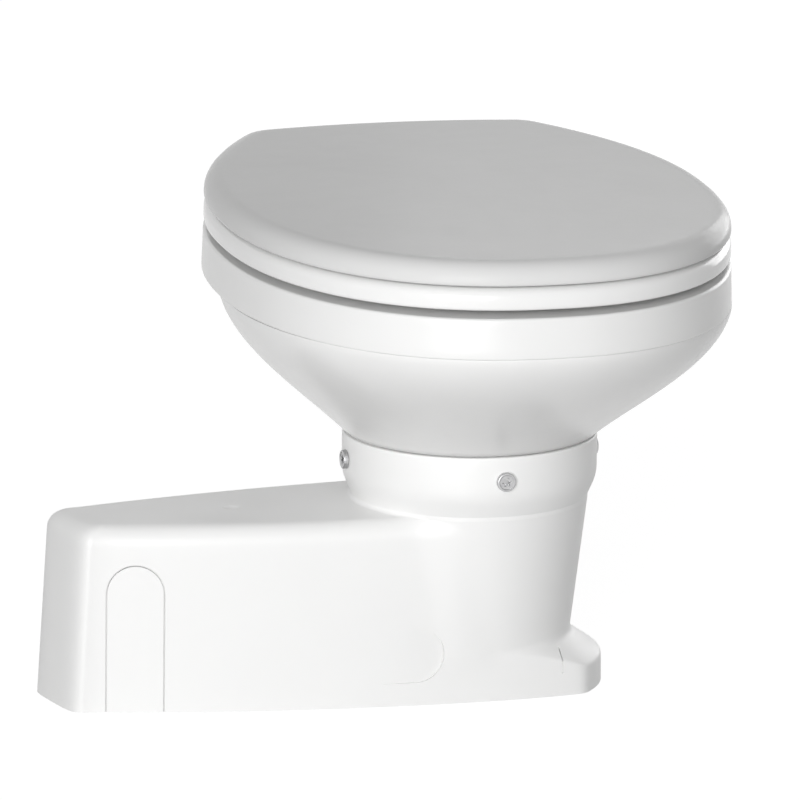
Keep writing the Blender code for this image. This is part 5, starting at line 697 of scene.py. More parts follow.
def shell_skin():
    """The whole shell: columns all round, each up the outside and down the inside, in a closed skin."""
    half = [outer + list(reversed(inner)) for outer, inner in zip(shell_half(0.0), shell_half(SHELL_WALL))]
    columns = half + [[(x, -y, z) for x, y, z in points] for points in reversed(half[1:-1])]
    return lofted([[slanted(*point) for point in points] for points in columns])


def prism(outline, low, high, place):
    """A straight solid over a flat outline, set in place."""
    maker = bmesh.new()
    lower = [maker.verts.new(place @ Vector((x, y, low))) for x, y in outline]
    upper = [maker.verts.new(place @ Vector((x, y, high))) for x, y in outline]
    maker.faces.new(lower)
    maker.faces.new(upper)
    for i in range(len(outline)):
        j = (i + 1) % len(outline)
        maker.faces.new((lower[i], lower[j], upper[j], upper[i]))
    return finished_mesh(maker, "prism")


def turned(profile, place, steps=ROUND_STEPS):
    """A turned solid: a profile of radius and height, carried round its own upright axis and set in place."""
    maker = bmesh.new()
    rows = []
    for radius, height in profile:
        turns = [2.0 * math.pi * i / steps for i in range(steps)] if radius > 0.0 else [0.0]
        rows.append([maker.verts.new(place @ Vector((radius * math.cos(turn), radius * math.sin(turn), height)))
                     for turn in turns])
    pairs = list(zip(rows, rows[1:]))
    if profile[0][0] > 0.0:
        pairs.append((rows[-1], rows[0]))
    for upper, lower in pairs:
        for i in range(steps):
            j = (i + 1) % steps
            corners = [row[k % len(row)] for row, k in ((upper, i), (lower, i), (lower, j), (upper, j))]
            maker.faces.new(list(dict.fromkeys(corners)))
    return finished_mesh(maker, "turned")


def drilled(radius, low, high, place):
    """A plain round cutter."""
    return turned([(0.0, high), (radius, high), (radius, low), (0.0, low)], place)


def carved(mesh, tools, operation="DIFFERENCE"):
    """Cuts other meshes out of a mesh, or joins them on."""
    maker = bmesh.new()
    for tool in tools:
        maker.from_mesh(tool)
    cutter = placed("cutter", finished_mesh(maker, "cutter"))
    whole = placed("whole", mesh)
    carving = whole.modifiers.new("carving", "BOOLEAN")
    carving.operation = operation
    carving.solver = "EXACT"
    carving.object = cutter
    bpy.context.view_layer.update()
    result = bpy.data.meshes.new_from_object(whole.evaluated_get(bpy.context.evaluated_depsgraph_get()))
    for obj in (cutter, whole):
        bpy.data.objects.remove(obj)
    return result


def shaded_like(mesh, skin):
    """Gives a carved mesh the normals of its uncut skin, so that no cut ripples the faces round it."""
    maker = bmesh.new()
    maker.from_mesh(skin)
    bmesh.ops.triangulate(maker, faces=maker.faces)
    maker.normal_update()
    tree = BVHTree.FromBMesh(maker)
    maker.faces.ensure_lookup_table()
    normals = [Vector()] * len(mesh.loops)
    at_vertex = []
    for vertex in mesh.vertices:
        place, _, index, gap = tree.find_nearest(vertex.co)
        if gap > SKIN_REACH:
            at_vertex.append(None)
            continue
        corners = maker.faces[index].verts
        shares = poly_3d_calc([corner.co for corner in corners], place)
        normal = Vector()
        for corner, share in zip(corners, shares):
            normal += corner.normal * share
        at_vertex.append(normal.normalized())
    maker.free()
    mesh.shade_smooth()
    mesh.set_sharp_from_angle(angle=SHARP_ANGLE)
    for face in mesh.polygons:
        for loop in face.loop_indices:
            normal = at_vertex[mesh.loops[loop].vertex_index]
            if normal is not None and normal.dot(face.normal) > SKIN_LIKENESS:
                normals[loop] = normal
    mesh.normals_split_custom_set(normals)
    return mesh


def moved(x, y, z):
    """A place moved by this much."""
    return Matrix.Translation((x, y, z))


def upright_place(turn, height=0.0):
    """A place on the pedestal's axis whose own Z looks outwards at this turn from the front."""
    return moved(0.0, 0.0, height) @ Matrix.Rotation(turn, 4, "Z") @ LYING


def port_groove(side):
    """The groove round a hose port: an arch on the floor line of a side wall."""
    half = PORT_WIDTH / 2.0
    ahead, wall, behind = (slanted(x, side * side_half_width(x), 0.0)
                           for x in (-PORT_PLACE + half, -PORT_PLACE, -PORT_PLACE - half))
    along = ahead - behind
    outline = []
    for line, first, last in ((GROOVE_WIDTH / 2.0, 0.0, math.pi), (-GROOVE_WIDTH / 2.0, math.pi, 0.0)):
        arch = arc(0.0, PORT_HEIGHT - half, half + line, first, last, ROUND_STEPS)
        outline += [(arch[0][0], -OVERRUN)] + arch + [(arch[-1][0], -OVERRUN)]
    place = (Matrix.Translation(wall) @ Matrix.Rotation(math.atan2(along.y, along.x), 4, "Z")
             @ Matrix.Rotation(side * math.atan(SIDE_DRAFT), 4, "X") @ LYING)
    return prism(outline, -GROOVE_DEPTH, GROOVE_DEPTH, place)


def side_pad(side):
    """The flat pad in a side wall, with a round end, which runs out where the wall leans in behind it."""
    outline = arc(0.0, 0.0, PAD_RADIUS, -QUARTER, QUARTER, ROUND_STEPS)
    outline += [(-PAD_LENGTH, PAD_RADIUS), (-PAD_LENGTH, -PAD_RADIUS)]
    place = moved(-PAD_PLACE, side * (PAD_PLANE + OVERRUN / 2.0), PAD_HEIGHT) @ LYING
    return prism(outline, -OVERRUN / 2.0, OVERRUN / 2.0, place)


def pad_groove(side):
    """The groove that is left where the flat pad meets the wall, round its end and along its lower edge."""
    outer, inner = PAD_RADIUS + PAD_GROOVE / 2.0, PAD_RADIUS - PAD_GROOVE / 2.0
    outline = arc(0.0, 0.0, outer, PAD_GROOVE_TOP, -QUARTER, ROUND_STEPS)
    outline += [(-PAD_GROOVE_RUN, -outer), (-PAD_GROOVE_RUN, -inner)]
    outline += arc(0.0, 0.0, inner, -QUARTER, PAD_GROOVE_TOP, ROUND_STEPS)
    turned_to_wall = LYING @ Matrix.Diagonal((1.0, 1.0, side, 1.0))
    place = moved(-PAD_PLACE, side * PAD_PLANE, PAD_HEIGHT) @ turned_to_wall
    return prism(outline, -OVERRUN / 2.0, PAD_GROOVE_DEPTH, place)


def foot_slit(side):
    """The narrow slit down the foot's side, over the lug that the shell clips on."""
    wall = side_half_width(SLIT_PLACE) - FOOT_EDGE_HEIGHT * SIDE_DRAFT
    inner = wall - SLIT_REACH
    edge = foot_ledge(math.hypot(SLIT_PLACE, wall))
    high = foot_ledge(math.hypot(SLIT_PLACE, inner))
    outline = [(wall + OVERRUN, SLIT_BOTTOM), (wall + OVERRUN, high + OVERRUN), (inner, high + OVERRUN),
               (inner, high - SLIT_DEPTH), (wall - SLIT_DEPTH, edge - SLIT_DEPTH),
               (wall - SLIT_DEPTH, SLIT_BOTTOM)]
    place = (moved(SLIT_PLACE, 0.0, 0.0) @ Matrix.Diagonal((1.0, side, 1.0, 1.0))
             @ Matrix.Rotation(QUARTER, 4, "Z") @ LYING)
    return prism(outline, -SLIT_WIDTH / 2.0, SLIT_WIDTH / 2.0, place)


def top_dimple():
    """The shallow round dish that the moulding's gate leaves in the box's top."""
    ball = (DIMPLE_RADIUS ** 2 + DIMPLE_DEPTH ** 2) / (2.0 * DIMPLE_DEPTH)
    opening = math.asin(DIMPLE_RADIUS / ball)
    profile = [(0.0, BOX_HEIGHT + OVERRUN), (DIMPLE_RADIUS, BOX_HEIGHT + OVERRUN)]
    for turn in between(opening, 0.0, DIMPLE_ROWS):
        profile.append((ball * math.sin(turn), BOX_HEIGHT - DIMPLE_DEPTH + ball * (1.0 - math.cos(turn))))
    return turned(profile, moved(-DIMPLE_PLACE, 0.0, 0.0))


skin = shell_skin()
cutters = [shape(side) for shape in (port_groove, side_pad, foot_slit) for side in (-1.0, 1.0)]
cutters.append(top_dimple())
for quarter in range(4):
    cutters.append(drilled(CLAMP_HOLE_RADIUS, COLLAR_RADIUS - SHELL_WALL - OVERRUN, COLLAR_RADIUS + OVERRUN,
                           upright_place(quarter * QUARTER, CLAMP_HEIGHT)))
cutters.append(drilled(RINSE_HOLE_RADIUS, BASE_HALF_WIDTH - SHELL_WALL - OVERRUN,
                       BASE_HALF_WIDTH + 2.0 * OVERRUN, upright_place(math.pi, RINSE_HEIGHT)))
white_moulding = surface_finish("white_moulding", grain, {"Scale": 400.0}, SHELL_LIGHT, SHELL_DARK,
                                rough=(0.38, 0.44), relief=0.000003)
pad_cut = carved(carved(skin.copy(), cutters), [pad_groove(-1.0), pad_groove(1.0)])
stand_for("base_shell", shaded_like(pad_cut, skin), white_moulding)

# Clamp screws: four round-headed screws of stainless steel with a six-point star recess. They pass
# through the collar and grip the bowl's foot ring.

SCREW_HEAD_START = 0.0903
SCREW_HEAD_RADIUS = 0.0067
SCREW_HEAD_HEIGHT = 0.0033
SCREW_DISH_RADIUS = 0.0048
SCREW_DISH_DEPTH = 0.0007
SCREW_SHANK_RADIUS = 0.0030
SCREW_TIP = 0.0841
STAR_RADIUS = 0.0034
STAR_WAIST_SHARE = 0.56
STAR_DEPTH = 0.0022
STAR_POINTS = 6
STAR_STEPS = 48
SCREW_EDGE = 0.0008
SCREW_EDGE_STEPS = 5
SCREW_SET_TURN = 0.11
SCREW_STEEL_LIGHT = (0.54, 0.54, 0.54)
SCREW_STEEL_DARK = (0.46, 0.46, 0.47)

head_top = SCREW_HEAD_START + SCREW_HEAD_HEIGHT
dish = head_top - SCREW_DISH_DEPTH
screw_profile = [(0.0, dish), (SCREW_DISH_RADIUS, dish), (SCREW_DISH_RADIUS + SCREW_DISH_DEPTH, head_top)]
screw_profile += arc(SCREW_HEAD_RADIUS - SCREW_EDGE, head_top - SCREW_EDGE, SCREW_EDGE, QUARTER, 0.0,
                     SCREW_EDGE_STEPS)
screw_profile += [(SCREW_HEAD_RADIUS, SCREW_HEAD_START), (SCREW_SHANK_RADIUS, SCREW_HEAD_START),
                  (SCREW_SHANK_RADIUS, SCREW_TIP + SCREW_SHANK_RADIUS / 2.0),
                  (SCREW_SHANK_RADIUS / 2.0, SCREW_TIP), (0.0, SCREW_TIP)]
star = []
for turn in between(0.0, 2.0 * math.pi, STAR_STEPS)[:-1]:
    wave = (1.0 + math.cos(STAR_POINTS * turn)) / 2.0
    reach = STAR_RADIUS * (STAR_WAIST_SHARE + (1.0 - STAR_WAIST_SHARE) * wave)
    star.append((reach * math.cos(turn), reach * math.sin(turn)))
bright_steel = surface_finish("bright_steel", lines, {"Scale": 420.0, "Direction": (1.0, 1.0, 6.0)},
                              SCREW_STEEL_LIGHT, SCREW_STEEL_DARK, rough=(0.34, 0.46), relief=0.000004,
                              metallic=1.0)
for quarter, screw_name in enumerate(("front", "right", "back", "left")):
    place = upright_place(quarter * QUARTER, CLAMP_HEIGHT)
    set_turn = Matrix.Rotation(SCREW_SET_TURN * (quarter + 1.0), 4, "Z")
    recess = prism(star, dish - STAR_DEPTH, head_top + STAR_DEPTH, place @ set_turn)
    screw = carved(turned(screw_profile, place), [recess])
    screw.shade_smooth()
    screw.set_sharp_from_angle(angle=SHARP_ANGLE)
    stand_for("clamp_screw_" + screw_name, screw, bright_steel)

# Bowl: one piece of white vitreous china, slip cast and glazed all over. Its rim carries the seat,
# its back shelf the hinges, and its foot ring stands in the collar. It is turned 2.3 degrees there.

BOWL_TURN = math.radians(-2.3)
OUTLINE_HALF_WIDTH = 0.178
OUTLINE_WIDEST = 0.018
OUTLINE_FRONT = 0.238
OUTLINE_EXPONENT = 2.24
OUTLINE_CORNER_HALF_WIDTH = 0.1085
OUTLINE_CORNER = 0.2485
OUTLINE_SIDE_EXPONENT = 2.15
OUTLINE_BACK_BULGE = 0.010
OUTLINE_ROUND_SHARES = (0.965, 0.935)
FRONT_STATIONS = 40
BACK_SIDE_STATIONS = 22
CORNER_STATIONS = 6
BACK_STATIONS = 8
RIM_TOP = 0.3100
RIM_BOTTOM = 0.2808
RIM_TOP_GROWTH = 0.0004
RIM_BOTTOM_GROWTH = 0.0012
RIM_EDGE_ROUND = 0.0045
RIM_CREST_ROUND = 0.0022
RIM_STEP_HEIGHT = 0.0016
SHELF_EXTRA = 0.0200
SHELF_DROP = 0.005
SHELF_FRONT = 0.2320
UNDERSIDE_HALF_WIDTH = 0.1771
UNDERSIDE_FRONT = 0.2200
UNDERSIDE_BACK = 0.2030
UNDERSIDE_EXPONENT = 2.084
UNDERSIDE_BOTTOM = 0.1812
UNDERSIDE_BOTTOM_RADIUS = 0.0890
UNDERSIDE_TOP_SLOPE_SHARE = 0.204
UNDERSIDE_BELLY_SHARE = 1.458
UNDERSIDE_ROWS = 26
BOWL_WALL = 0.0115
RIM_OPENING_HALF_WIDTH = 0.122
RIM_OPENING_HALF_LENGTH = 0.153
OPENING_CENTRE = -0.014
RIM_LIP_BOTTOM = 0.286
BOWL_FLOOR = 0.176
THROAT_RADIUS = 0.030
THROAT_HEIGHT = 0.168
SPIGOT_WALL = 0.006
SPIGOT_BOTTOM = 0.128
FOOT_RING_RADIUS = 0.0838
FOOT_RING_WALL = 0.013
FOOT_RING_BOTTOM = 0.1555
BOSS_RADIUS = 0.016
BOSS_START = 0.1585
INLET_HEIGHT = 0.262
INLET_RADIUS = 0.0088
HINGE_AXIS = 0.264
HINGE_PLACE = 0.0775
BOLT_PLACE = 0.0180
BOLT_HOLE_RADIUS = 0.0055
INNER_FOOT_SHARE = 0.86
INNER_FOOT_RISE_SHARE = 0.35
INNER_SIDE_SHARES = (0.68, 0.48, 0.26)
DISH_SHARE = 0.55
DISH_RISE_SHARE = 0.30
INNER_STEPS = 5
CREST_STEPS = 6
BAND_ROWS = 5
LOW_EDGE_STEPS = 4
LIP_STEPS = 5
GLAZE_LIGHT = (0.870, 0.870, 0.865)
GLAZE_DARK = (0.855, 0.855, 0.850)

ripple = grained("glaze_ripple", scale=30.0, detail=0.0, tone_share=0.35, sheen_share=2.5)


def outline_half(growth=0.0, extra_back=0.0):
    """Right half of the D-shaped outline from the front tip to the middle of the back, grown outwards."""
    half_width = OUTLINE_HALF_WIDTH + growth
    length = OUTLINE_CORNER + growth - OUTLINE_WIDEST
    end = 1.0 + extra_back / length
    draw_in = half_width - OUTLINE_CORNER_HALF_WIDTH - growth
    corner = (half_width - draw_in * end ** OUTLINE_SIDE_EXPONENT, OUTLINE_WIDEST + length * end)
    side_share, back_share = OUTLINE_ROUND_SHARES
    points = []
    for turn in between(0.0, QUARTER, FRONT_STATIONS)[:-1]:
        points.append((half_width * math.sin(turn) ** (2.0 / OUTLINE_EXPONENT),
                       OUTLINE_WIDEST - (OUTLINE_FRONT + growth) * math.cos(turn) ** (2.0 / OUTLINE_EXPONENT)))
    for share in between(0.0, side_share * end, BACK_SIDE_STATIONS):
        points.append((half_width - draw_in * share ** OUTLINE_SIDE_EXPONENT, OUTLINE_WIDEST + length * share))
    back = [(corner[0] * share, corner[1] + OUTLINE_BACK_BULGE * (1.0 - share * share))
            for share in between(back_share, 0.0, BACK_STATIONS)]
    start, finish = points[-1], back[0]
    points += [corner_curve(start, corner, finish, share)
               for share in between(0.0, 1.0, CORNER_STATIONS)[1:-1]]
    return points + back


def whole_outline(half):
    """Both halves of an outline, as one loop."""
    return half + [(-x, y) for x, y in reversed(half[1:-1])]


OUTLINE = whole_outline(outline_half())


def outline_ring(growth, height, extra_back=0.0):
    """The outline, grown outwards, at this height."""
    return [(x, y, height) for x, y in whole_outline(outline_half(growth, extra_back))]


def oval_ring(half_width, half_length, centre, height, exponent=2.15):
    """An oval ring whose points lie at the same angles round its centre as the outline's do."""
    points = []
    for x, y in OUTLINE:
        turn = math.atan2(y - centre, x)
        reach = (abs(math.cos(turn) / half_width) ** exponent
                 + abs(math.sin(turn) / half_length) ** exponent) ** (-1.0 / exponent)
        points.append((reach * math.cos(turn), centre + reach * math.sin(turn), height))
    return points


def round_ring(radius, height):
    """A circle whose points lie at the same angles as the outline's do."""
    turns = [math.atan2(y, x) for x, y in OUTLINE]
    return [(radius * math.cos(turn), radius * math.sin(turn), height) for turn in turns]


def mixed(first, second, share, height):
    """A ring between two rings, at this height."""
    return [(a[0] + (b[0] - a[0]) * share, a[1] + (b[1] - a[1]) * share, height) for a, b in zip(first, second)]


def drawn_in(points, depth):
    """A ring moved towards the axis by the depth."""
    nearer = []
    for x, y, z in points:
        reach = math.hypot(x, y)
        nearer.append((x * (reach - depth) / reach, y * (reach - depth) / reach, z))
    return nearer


RIM_OVAL = oval_ring(UNDERSIDE_HALF_WIDTH, (UNDERSIDE_BACK + UNDERSIDE_FRONT) / 2.0,
                     (UNDERSIDE_BACK - UNDERSIDE_FRONT) / 2.0, 0.0, UNDERSIDE_EXPONENT)
FOOT_CIRCLE = round_ring(UNDERSIDE_BOTTOM_RADIUS, 0.0)


def underside_ring(share):
    """A ring of the bowl's outside between the rim's oval and the round foot, by the share of the way down."""
    start = RIM_BOTTOM - RIM_STEP_HEIGHT
    slope, belly = UNDERSIDE_TOP_SLOPE_SHARE, UNDERSIDE_BELLY_SHARE
    drawn = share * (slope + share * (belly + share * (1.0 - slope - belly)))
    return mixed(RIM_OVAL, FOOT_CIRCLE, drawn, start + (UNDERSIDE_BOTTOM - start) * share)


def curve_point(before, start, end, after, share):
    """A point between start and end on a smooth curve through all four."""
    return 0.5 * (2.0 * start + (end - before) * share
                  + (2.0 * before - 5.0 * start + 4.0 * end - after) * share ** 2
                  + (3.0 * start - before - 3.0 * end + after) * share ** 3)


def eased(rings, steps):
    """More rings between the given ones, on smooth curves through each point of the loops."""
    smooth = []
    padded = [rings[0], *rings, rings[-1]]
    for four in zip(padded, padded[1:], padded[2:], padded[3:]):
        for share in between(0.0, 1.0, steps)[:-1]:
            smooth.append([tuple(curve_point(*map(Vector, points), share)) for points in zip(*four)])
    return smooth + [rings[-1]]


def quarter_rings(ring_at, growth, height, radius, upper, steps):
    """Rings round a quarter of a rounded edge, from its flat face to its upright face."""
    rise = radius if upper else -radius
    return [ring_at(*point) for point in arc(growth - radius, height - rise, radius, QUARTER, 0.0, steps, rise)]


def shelf_ring(growth, height):
    """The outline with the back shelf, grown outwards."""
    return outline_ring(growth, height, SHELF_EXTRA)


def rim_opening(growth, height):
    """The rim's oval opening, drawn in by the growth."""
    return oval_ring(RIM_OPENING_HALF_WIDTH - growth, RIM_OPENING_HALF_LENGTH - growth, OPENING_CENTRE, height)


def bowl_skin():
    """The bowl: down the outside to the foot, and up the inside from the spigot to the rim's lip."""
    rings = quarter_rings(shelf_ring, RIM_TOP_GROWTH, RIM_TOP, RIM_CREST_ROUND, True, CREST_STEPS)
    low_round = RIM_EDGE_ROUND / 3.0
    crest, skirt = RIM_TOP - RIM_CREST_ROUND, RIM_BOTTOM + low_round
    for share in between(0.0, 1.0, BAND_ROWS)[1:]:
        growth = RIM_TOP_GROWTH + (RIM_BOTTOM_GROWTH - RIM_TOP_GROWTH) * share
        rings.append(shelf_ring(growth, crest + (skirt - crest) * share))
    low_edge = quarter_rings(shelf_ring, RIM_BOTTOM_GROWTH, RIM_BOTTOM, low_round, False, LOW_EDGE_STEPS)
    rings += reversed(low_edge[:-1])
    rings.append([(x, y, RIM_BOTTOM) for x, y, _ in underside_ring(0.0)])
    rings += [underside_ring(share) for share in between(0.0, 1.0, UNDERSIDE_ROWS)]
    foot_top = UNDERSIDE_BOTTOM - (UNDERSIDE_BOTTOM_RADIUS - FOOT_RING_RADIUS) * ROUND_SHARE
    inside = FOOT_RING_RADIUS - FOOT_RING_WALL
    spigot = THROAT_RADIUS + SPIGOT_WALL
    rings += [round_ring(radius, height) for radius, height in (
        (FOOT_RING_RADIUS, foot_top), (FOOT_RING_RADIUS, FOOT_RING_BOTTOM), (inside, FOOT_RING_BOTTOM),
        (inside, THROAT_HEIGHT), (spigot, THROAT_HEIGHT - SPIGOT_WALL), (spigot, SPIGOT_BOTTOM),
        (THROAT_RADIUS, SPIGOT_BOTTOM))]
    low = [(x, y, z + BOWL_WALL * INNER_FOOT_RISE_SHARE)
           for x, y, z in drawn_in(underside_ring(INNER_FOOT_SHARE), BOWL_WALL)]
    inner = [round_ring(THROAT_RADIUS, THROAT_HEIGHT - SPIGOT_WALL), round_ring(THROAT_RADIUS, THROAT_HEIGHT),
             round_ring(spigot, BOWL_FLOOR),
             mixed(round_ring(spigot, 0.0), low, DISH_SHARE, BOWL_FLOOR + BOWL_WALL * DISH_RISE_SHARE), low]
    inner += [drawn_in(underside_ring(share), BOWL_WALL) for share in INNER_SIDE_SHARES]
    inner.append([(x, y, RIM_LIP_BOTTOM) for x, y, _ in drawn_in(underside_ring(0.0), BOWL_WALL * 2.0)])
    rings += eased(inner, INNER_STEPS)
    rings += quarter_rings(rim_opening, 0.0, RIM_LIP_BOTTOM, -RIM_EDGE_ROUND, True, LIP_STEPS)
    rings += reversed(quarter_rings(rim_opening, 0.0, RIM_TOP, -RIM_EDGE_ROUND, False, LIP_STEPS))
    return lofted(rings, place=BOWL_PLACE)


def plate_block(low, high):
    """A square cutter between two corners, turned with the bowl."""
    outline = [(low[0], low[1]), (high[0], low[1]), (high[0], high[1]), (low[0], high[1])]
    return prism(outline, low[2], high[2], BOWL_PLACE)


BOWL_PLACE = Matrix.Rotation(BOWL_TURN, 4, "Z")
FROM_BEHIND = BOWL_PLACE @ moved(0.0, 0.0, INLET_HEIGHT) @ LYING

bare_bowl = bowl_skin()
boss_profile = [(0.0, -BOSS_START), (BOSS_RADIUS, -BOSS_START), (BOSS_RADIUS, -UNDERSIDE_BACK),
                (0.0, -UNDERSIDE_BACK)]
with_boss = carved(bare_bowl.copy(), [turned(boss_profile, FROM_BEHIND)], "UNION")
shelf_back = OUTLINE_CORNER + OUTLINE_BACK_BULGE + SHELF_EXTRA + OVERRUN
bowl_cutters = [drilled(INLET_RADIUS, -UNDERSIDE_BACK - OVERRUN, OVERRUN - BOSS_START, FROM_BEHIND),
                plate_block((-OUTLINE_HALF_WIDTH, SHELF_FRONT, RIM_TOP - SHELF_DROP),
                            (OUTLINE_HALF_WIDTH, shelf_back, RIM_TOP + OVERRUN))]
for side in (-1.0, 1.0):
    bolt_place = BOWL_PLACE @ moved(side * HINGE_PLACE, HINGE_AXIS - BOLT_PLACE, 0.0)
    bowl_cutters.append(drilled(BOLT_HOLE_RADIUS, RIM_BOTTOM - OVERRUN, RIM_TOP + OVERRUN, bolt_place))
glazed_china = surface_finish("glazed_china", ripple, {"Scale": 45.0}, GLAZE_LIGHT, GLAZE_DARK,
                              rough=(0.25, 0.27), relief=0.00003)
stand_for("bowl", shaded_like(carved(with_boss, bowl_cutters), bare_bowl), glazed_china)

# Rinse elbow, nut and nozzle: mouldings of white nylon. The elbow goes through the bowl's boss, the
# nut clamps its flange from inside and the slotted nozzle spreads the water under the rim.

TOUCH_GAP = 0.0003
ELBOW_PIPE_RADIUS = 0.0080
ELBOW_BORE_RADIUS = 0.0045
ELBOW_FLANGE_RADIUS = 0.0140
ELBOW_FLANGE_THICKNESS = 0.0030
ELBOW_REACH = 0.223
ELBOW_BEND = 0.0110
ELBOW_SHOULDER = 0.233
ELBOW_BARB_END = 0.213
ELBOW_TIP = 0.145
BARB_RADIUS = 0.0060
BARB_WAIST = 0.0053
BARB_COUNT = 4
NUT_RADIUS = 0.0135
NUT_THICKNESS = 0.0050
NOZZLE_RADIUS = 0.0125
NOZZLE_WALL = 0.0020
NOZZLE_LENGTH = 0.0140
NOZZLE_SLOT = 0.0050
SAME_PLACE = 0.00006
ELBOW_EDGE = 0.0003
ELBOW_STEPS = 12
NOZZLE_STEPS = 8


def swept(stations, bore):
    """A tube: round rings of the stations' radii along their path, and a bore back through them."""
    places = [place for place, _ in stations]
    frames = []
    across = Vector((1.0, 0.0, 0.0))
    for i, place in enumerate(places):
        before = next((other for other in reversed(places[:i]) if (other - place).length > SAME_PLACE), place)
        after = next((other for other in places[i + 1:] if (other - place).length > SAME_PLACE), place)
        along = (after - before).normalized()
        across = (across - along * across.dot(along)).normalized()
        frames.append((across, along.cross(across)))

    def ring(i, radius):
        first, second = frames[i]
        return [places[i] + (first * math.cos(turn) + second * math.sin(turn)) * radius
                for turn in between(0.0, 2.0 * math.pi, ROUND_STEPS)[:-1]]

    rings = [ring(i, radius) for i, (_, radius) in enumerate(stations)]
    rings += [ring(i, bore) for i in reversed(range(len(places)))
              if i == 0 or (places[i] - places[i - 1]).length > SAME_PLACE]
    return lofted(rings)


boss_face = UNDERSIDE_BACK + TOUCH_GAP
flange_back = boss_face + ELBOW_FLANGE_THICKNESS
stations = [(y, INLET_HEIGHT, radius) for y, radius in (
    (ELBOW_TIP, ELBOW_PIPE_RADIUS), (boss_face, ELBOW_PIPE_RADIUS), (boss_face, ELBOW_FLANGE_RADIUS),
    (flange_back, ELBOW_FLANGE_RADIUS), (flange_back, ELBOW_PIPE_RADIUS))]
stations += [(y, z, ELBOW_PIPE_RADIUS) for y, z in arc(ELBOW_REACH - ELBOW_BEND, INLET_HEIGHT - ELBOW_BEND,
                                                       ELBOW_BEND, QUARTER, 0.0, ELBOW_STEPS)]
stations.append((ELBOW_REACH, ELBOW_SHOULDER, ELBOW_PIPE_RADIUS))
barb_run = (ELBOW_SHOULDER - ELBOW_BARB_END) / BARB_COUNT / 4.0
for ridge in between(ELBOW_SHOULDER, ELBOW_BARB_END, BARB_COUNT)[:-1]:
    stations += [(ELBOW_REACH, ridge, BARB_WAIST), (ELBOW_REACH, ridge - barb_run, BARB_WAIST),
                 (ELBOW_REACH, ridge - barb_run, BARB_RADIUS)]
stations.append((ELBOW_REACH, ELBOW_BARB_END, BARB_WAIST))
elbow = swept([(BOWL_PLACE @ Vector((0.0, y, z)), radius) for y, z, radius in stations], ELBOW_BORE_RADIUS)
stand_for("rinse_elbow", elbow, white_nylon, ELBOW_EDGE)

nut_bore = ELBOW_PIPE_RADIUS + TOUCH_GAP
nut_face = TOUCH_GAP - BOSS_START
hexagon = [(NUT_RADIUS * math.sin(math.pi * i / 3.0), NUT_RADIUS * math.cos(math.pi * i / 3.0))
           for i in range(6)]
rinse_nut = carved(prism(hexagon, nut_face, nut_face + NUT_THICKNESS, FROM_BEHIND),
                   [drilled(nut_bore, nut_face - OVERRUN, nut_face + NUT_THICKNESS + OVERRUN, FROM_BEHIND)])
stand_for("rinse_nut", rinse_nut, white_nylon, MOULDED_EDGE)
nozzle_start = nut_face + NUT_THICKNESS + TOUCH_GAP
nozzle_end = nozzle_start + NOZZLE_LENGTH
nozzle_profile = [(0.0, nozzle_end)]
nozzle_profile += arc(NOZZLE_RADIUS - NOZZLE_WALL, nozzle_end - NOZZLE_WALL, NOZZLE_WALL, QUARTER, 0.0,
                      NOZZLE_STEPS)
nozzle_profile += [(NOZZLE_RADIUS, nozzle_start), (nut_bore, nozzle_start),
                   (nut_bore, nozzle_end - NOZZLE_WALL), (0.0, nozzle_end - NOZZLE_WALL)]
nozzle_slot = plate_block((-NOZZLE_RADIUS - OVERRUN, -nozzle_end + NOZZLE_WALL,
                           INLET_HEIGHT - NOZZLE_SLOT / 2.0),
                          (NOZZLE_RADIUS + OVERRUN, -nozzle_end + NOZZLE_WALL + NOZZLE_SLOT,
                           INLET_HEIGHT + NOZZLE_SLOT / 2.0))
nozzle = carved(turned(nozzle_profile, FROM_BEHIND), [nozzle_slot])
stand_for("rinse_nozzle", nozzle, white_nylon, PUNCHED_EDGE)

# Rinse hose: white reinforced hose from the rinse valve's barb up the back to the elbow, held at
# either end by a band of stainless steel.

HOSE_RADIUS = 0.0090
HOSE_WALL = 0.0025
HOSE_START = 0.0850
HOSE_TOP = 0.229
VALVE_BARB_END = 0.1000
BAND_WIDTH = 0.0080
BAND_THICKNESS = 0.0012
BAND_INSET = 0.0020
BAND_WAIST_SHARE = 0.6
BEAD_STEPS = 8
HOSE_EDGE = 0.0003
HOSE_STEPS = 10
HOSE_KNOT_SHARES = ((0.10, 0.30, 0.07), (0.45, 0.67, 0.30), (0.85, 0.93, 0.62))
HOSE_WHITE = (0.80, 0.80, 0.78)
HOSE_GREY = (0.74, 0.74, 0.72)
BAND_STEEL_LIGHT = (0.70, 0.70, 0.70)
BAND_STEEL_DARK = (0.60, 0.60, 0.61)

hose_end = BOWL_PLACE @ Vector((0.0, ELBOW_REACH, 0.0))
straight = VALVE_BARB_END + HOSE_WALL
run, rise = hose_end.y - straight, HOSE_TOP - RINSE_HEIGHT
knots = [Vector((0.0, straight, RINSE_HEIGHT))]
knots += [Vector((hose_end.x * aside, straight + run * back, RINSE_HEIGHT + rise * up))
          for aside, back, up in HOSE_KNOT_SHARES]
knots.append(Vector((hose_end.x, hose_end.y, ELBOW_BARB_END - HOSE_WALL)))
knots = [2.0 * knots[0] - knots[1], *knots, 2.0 * knots[-1] - knots[-2]]
hose_path = [Vector((0.0, HOSE_START, RINSE_HEIGHT))]
for four in zip(knots, knots[1:], knots[2:], knots[3:]):
    hose_path += [curve_point(*four, share) for share in between(0.0, 1.0, HOSE_STEPS)[:-1]]
hose_path += [knots[-2], Vector((hose_end.x, hose_end.y, HOSE_TOP))]
white_hose = surface_finish("white_hose", grain, {"Scale": 600.0}, HOSE_WHITE, HOSE_GREY,
                            rough=(0.38, 0.50), relief=0.000006)
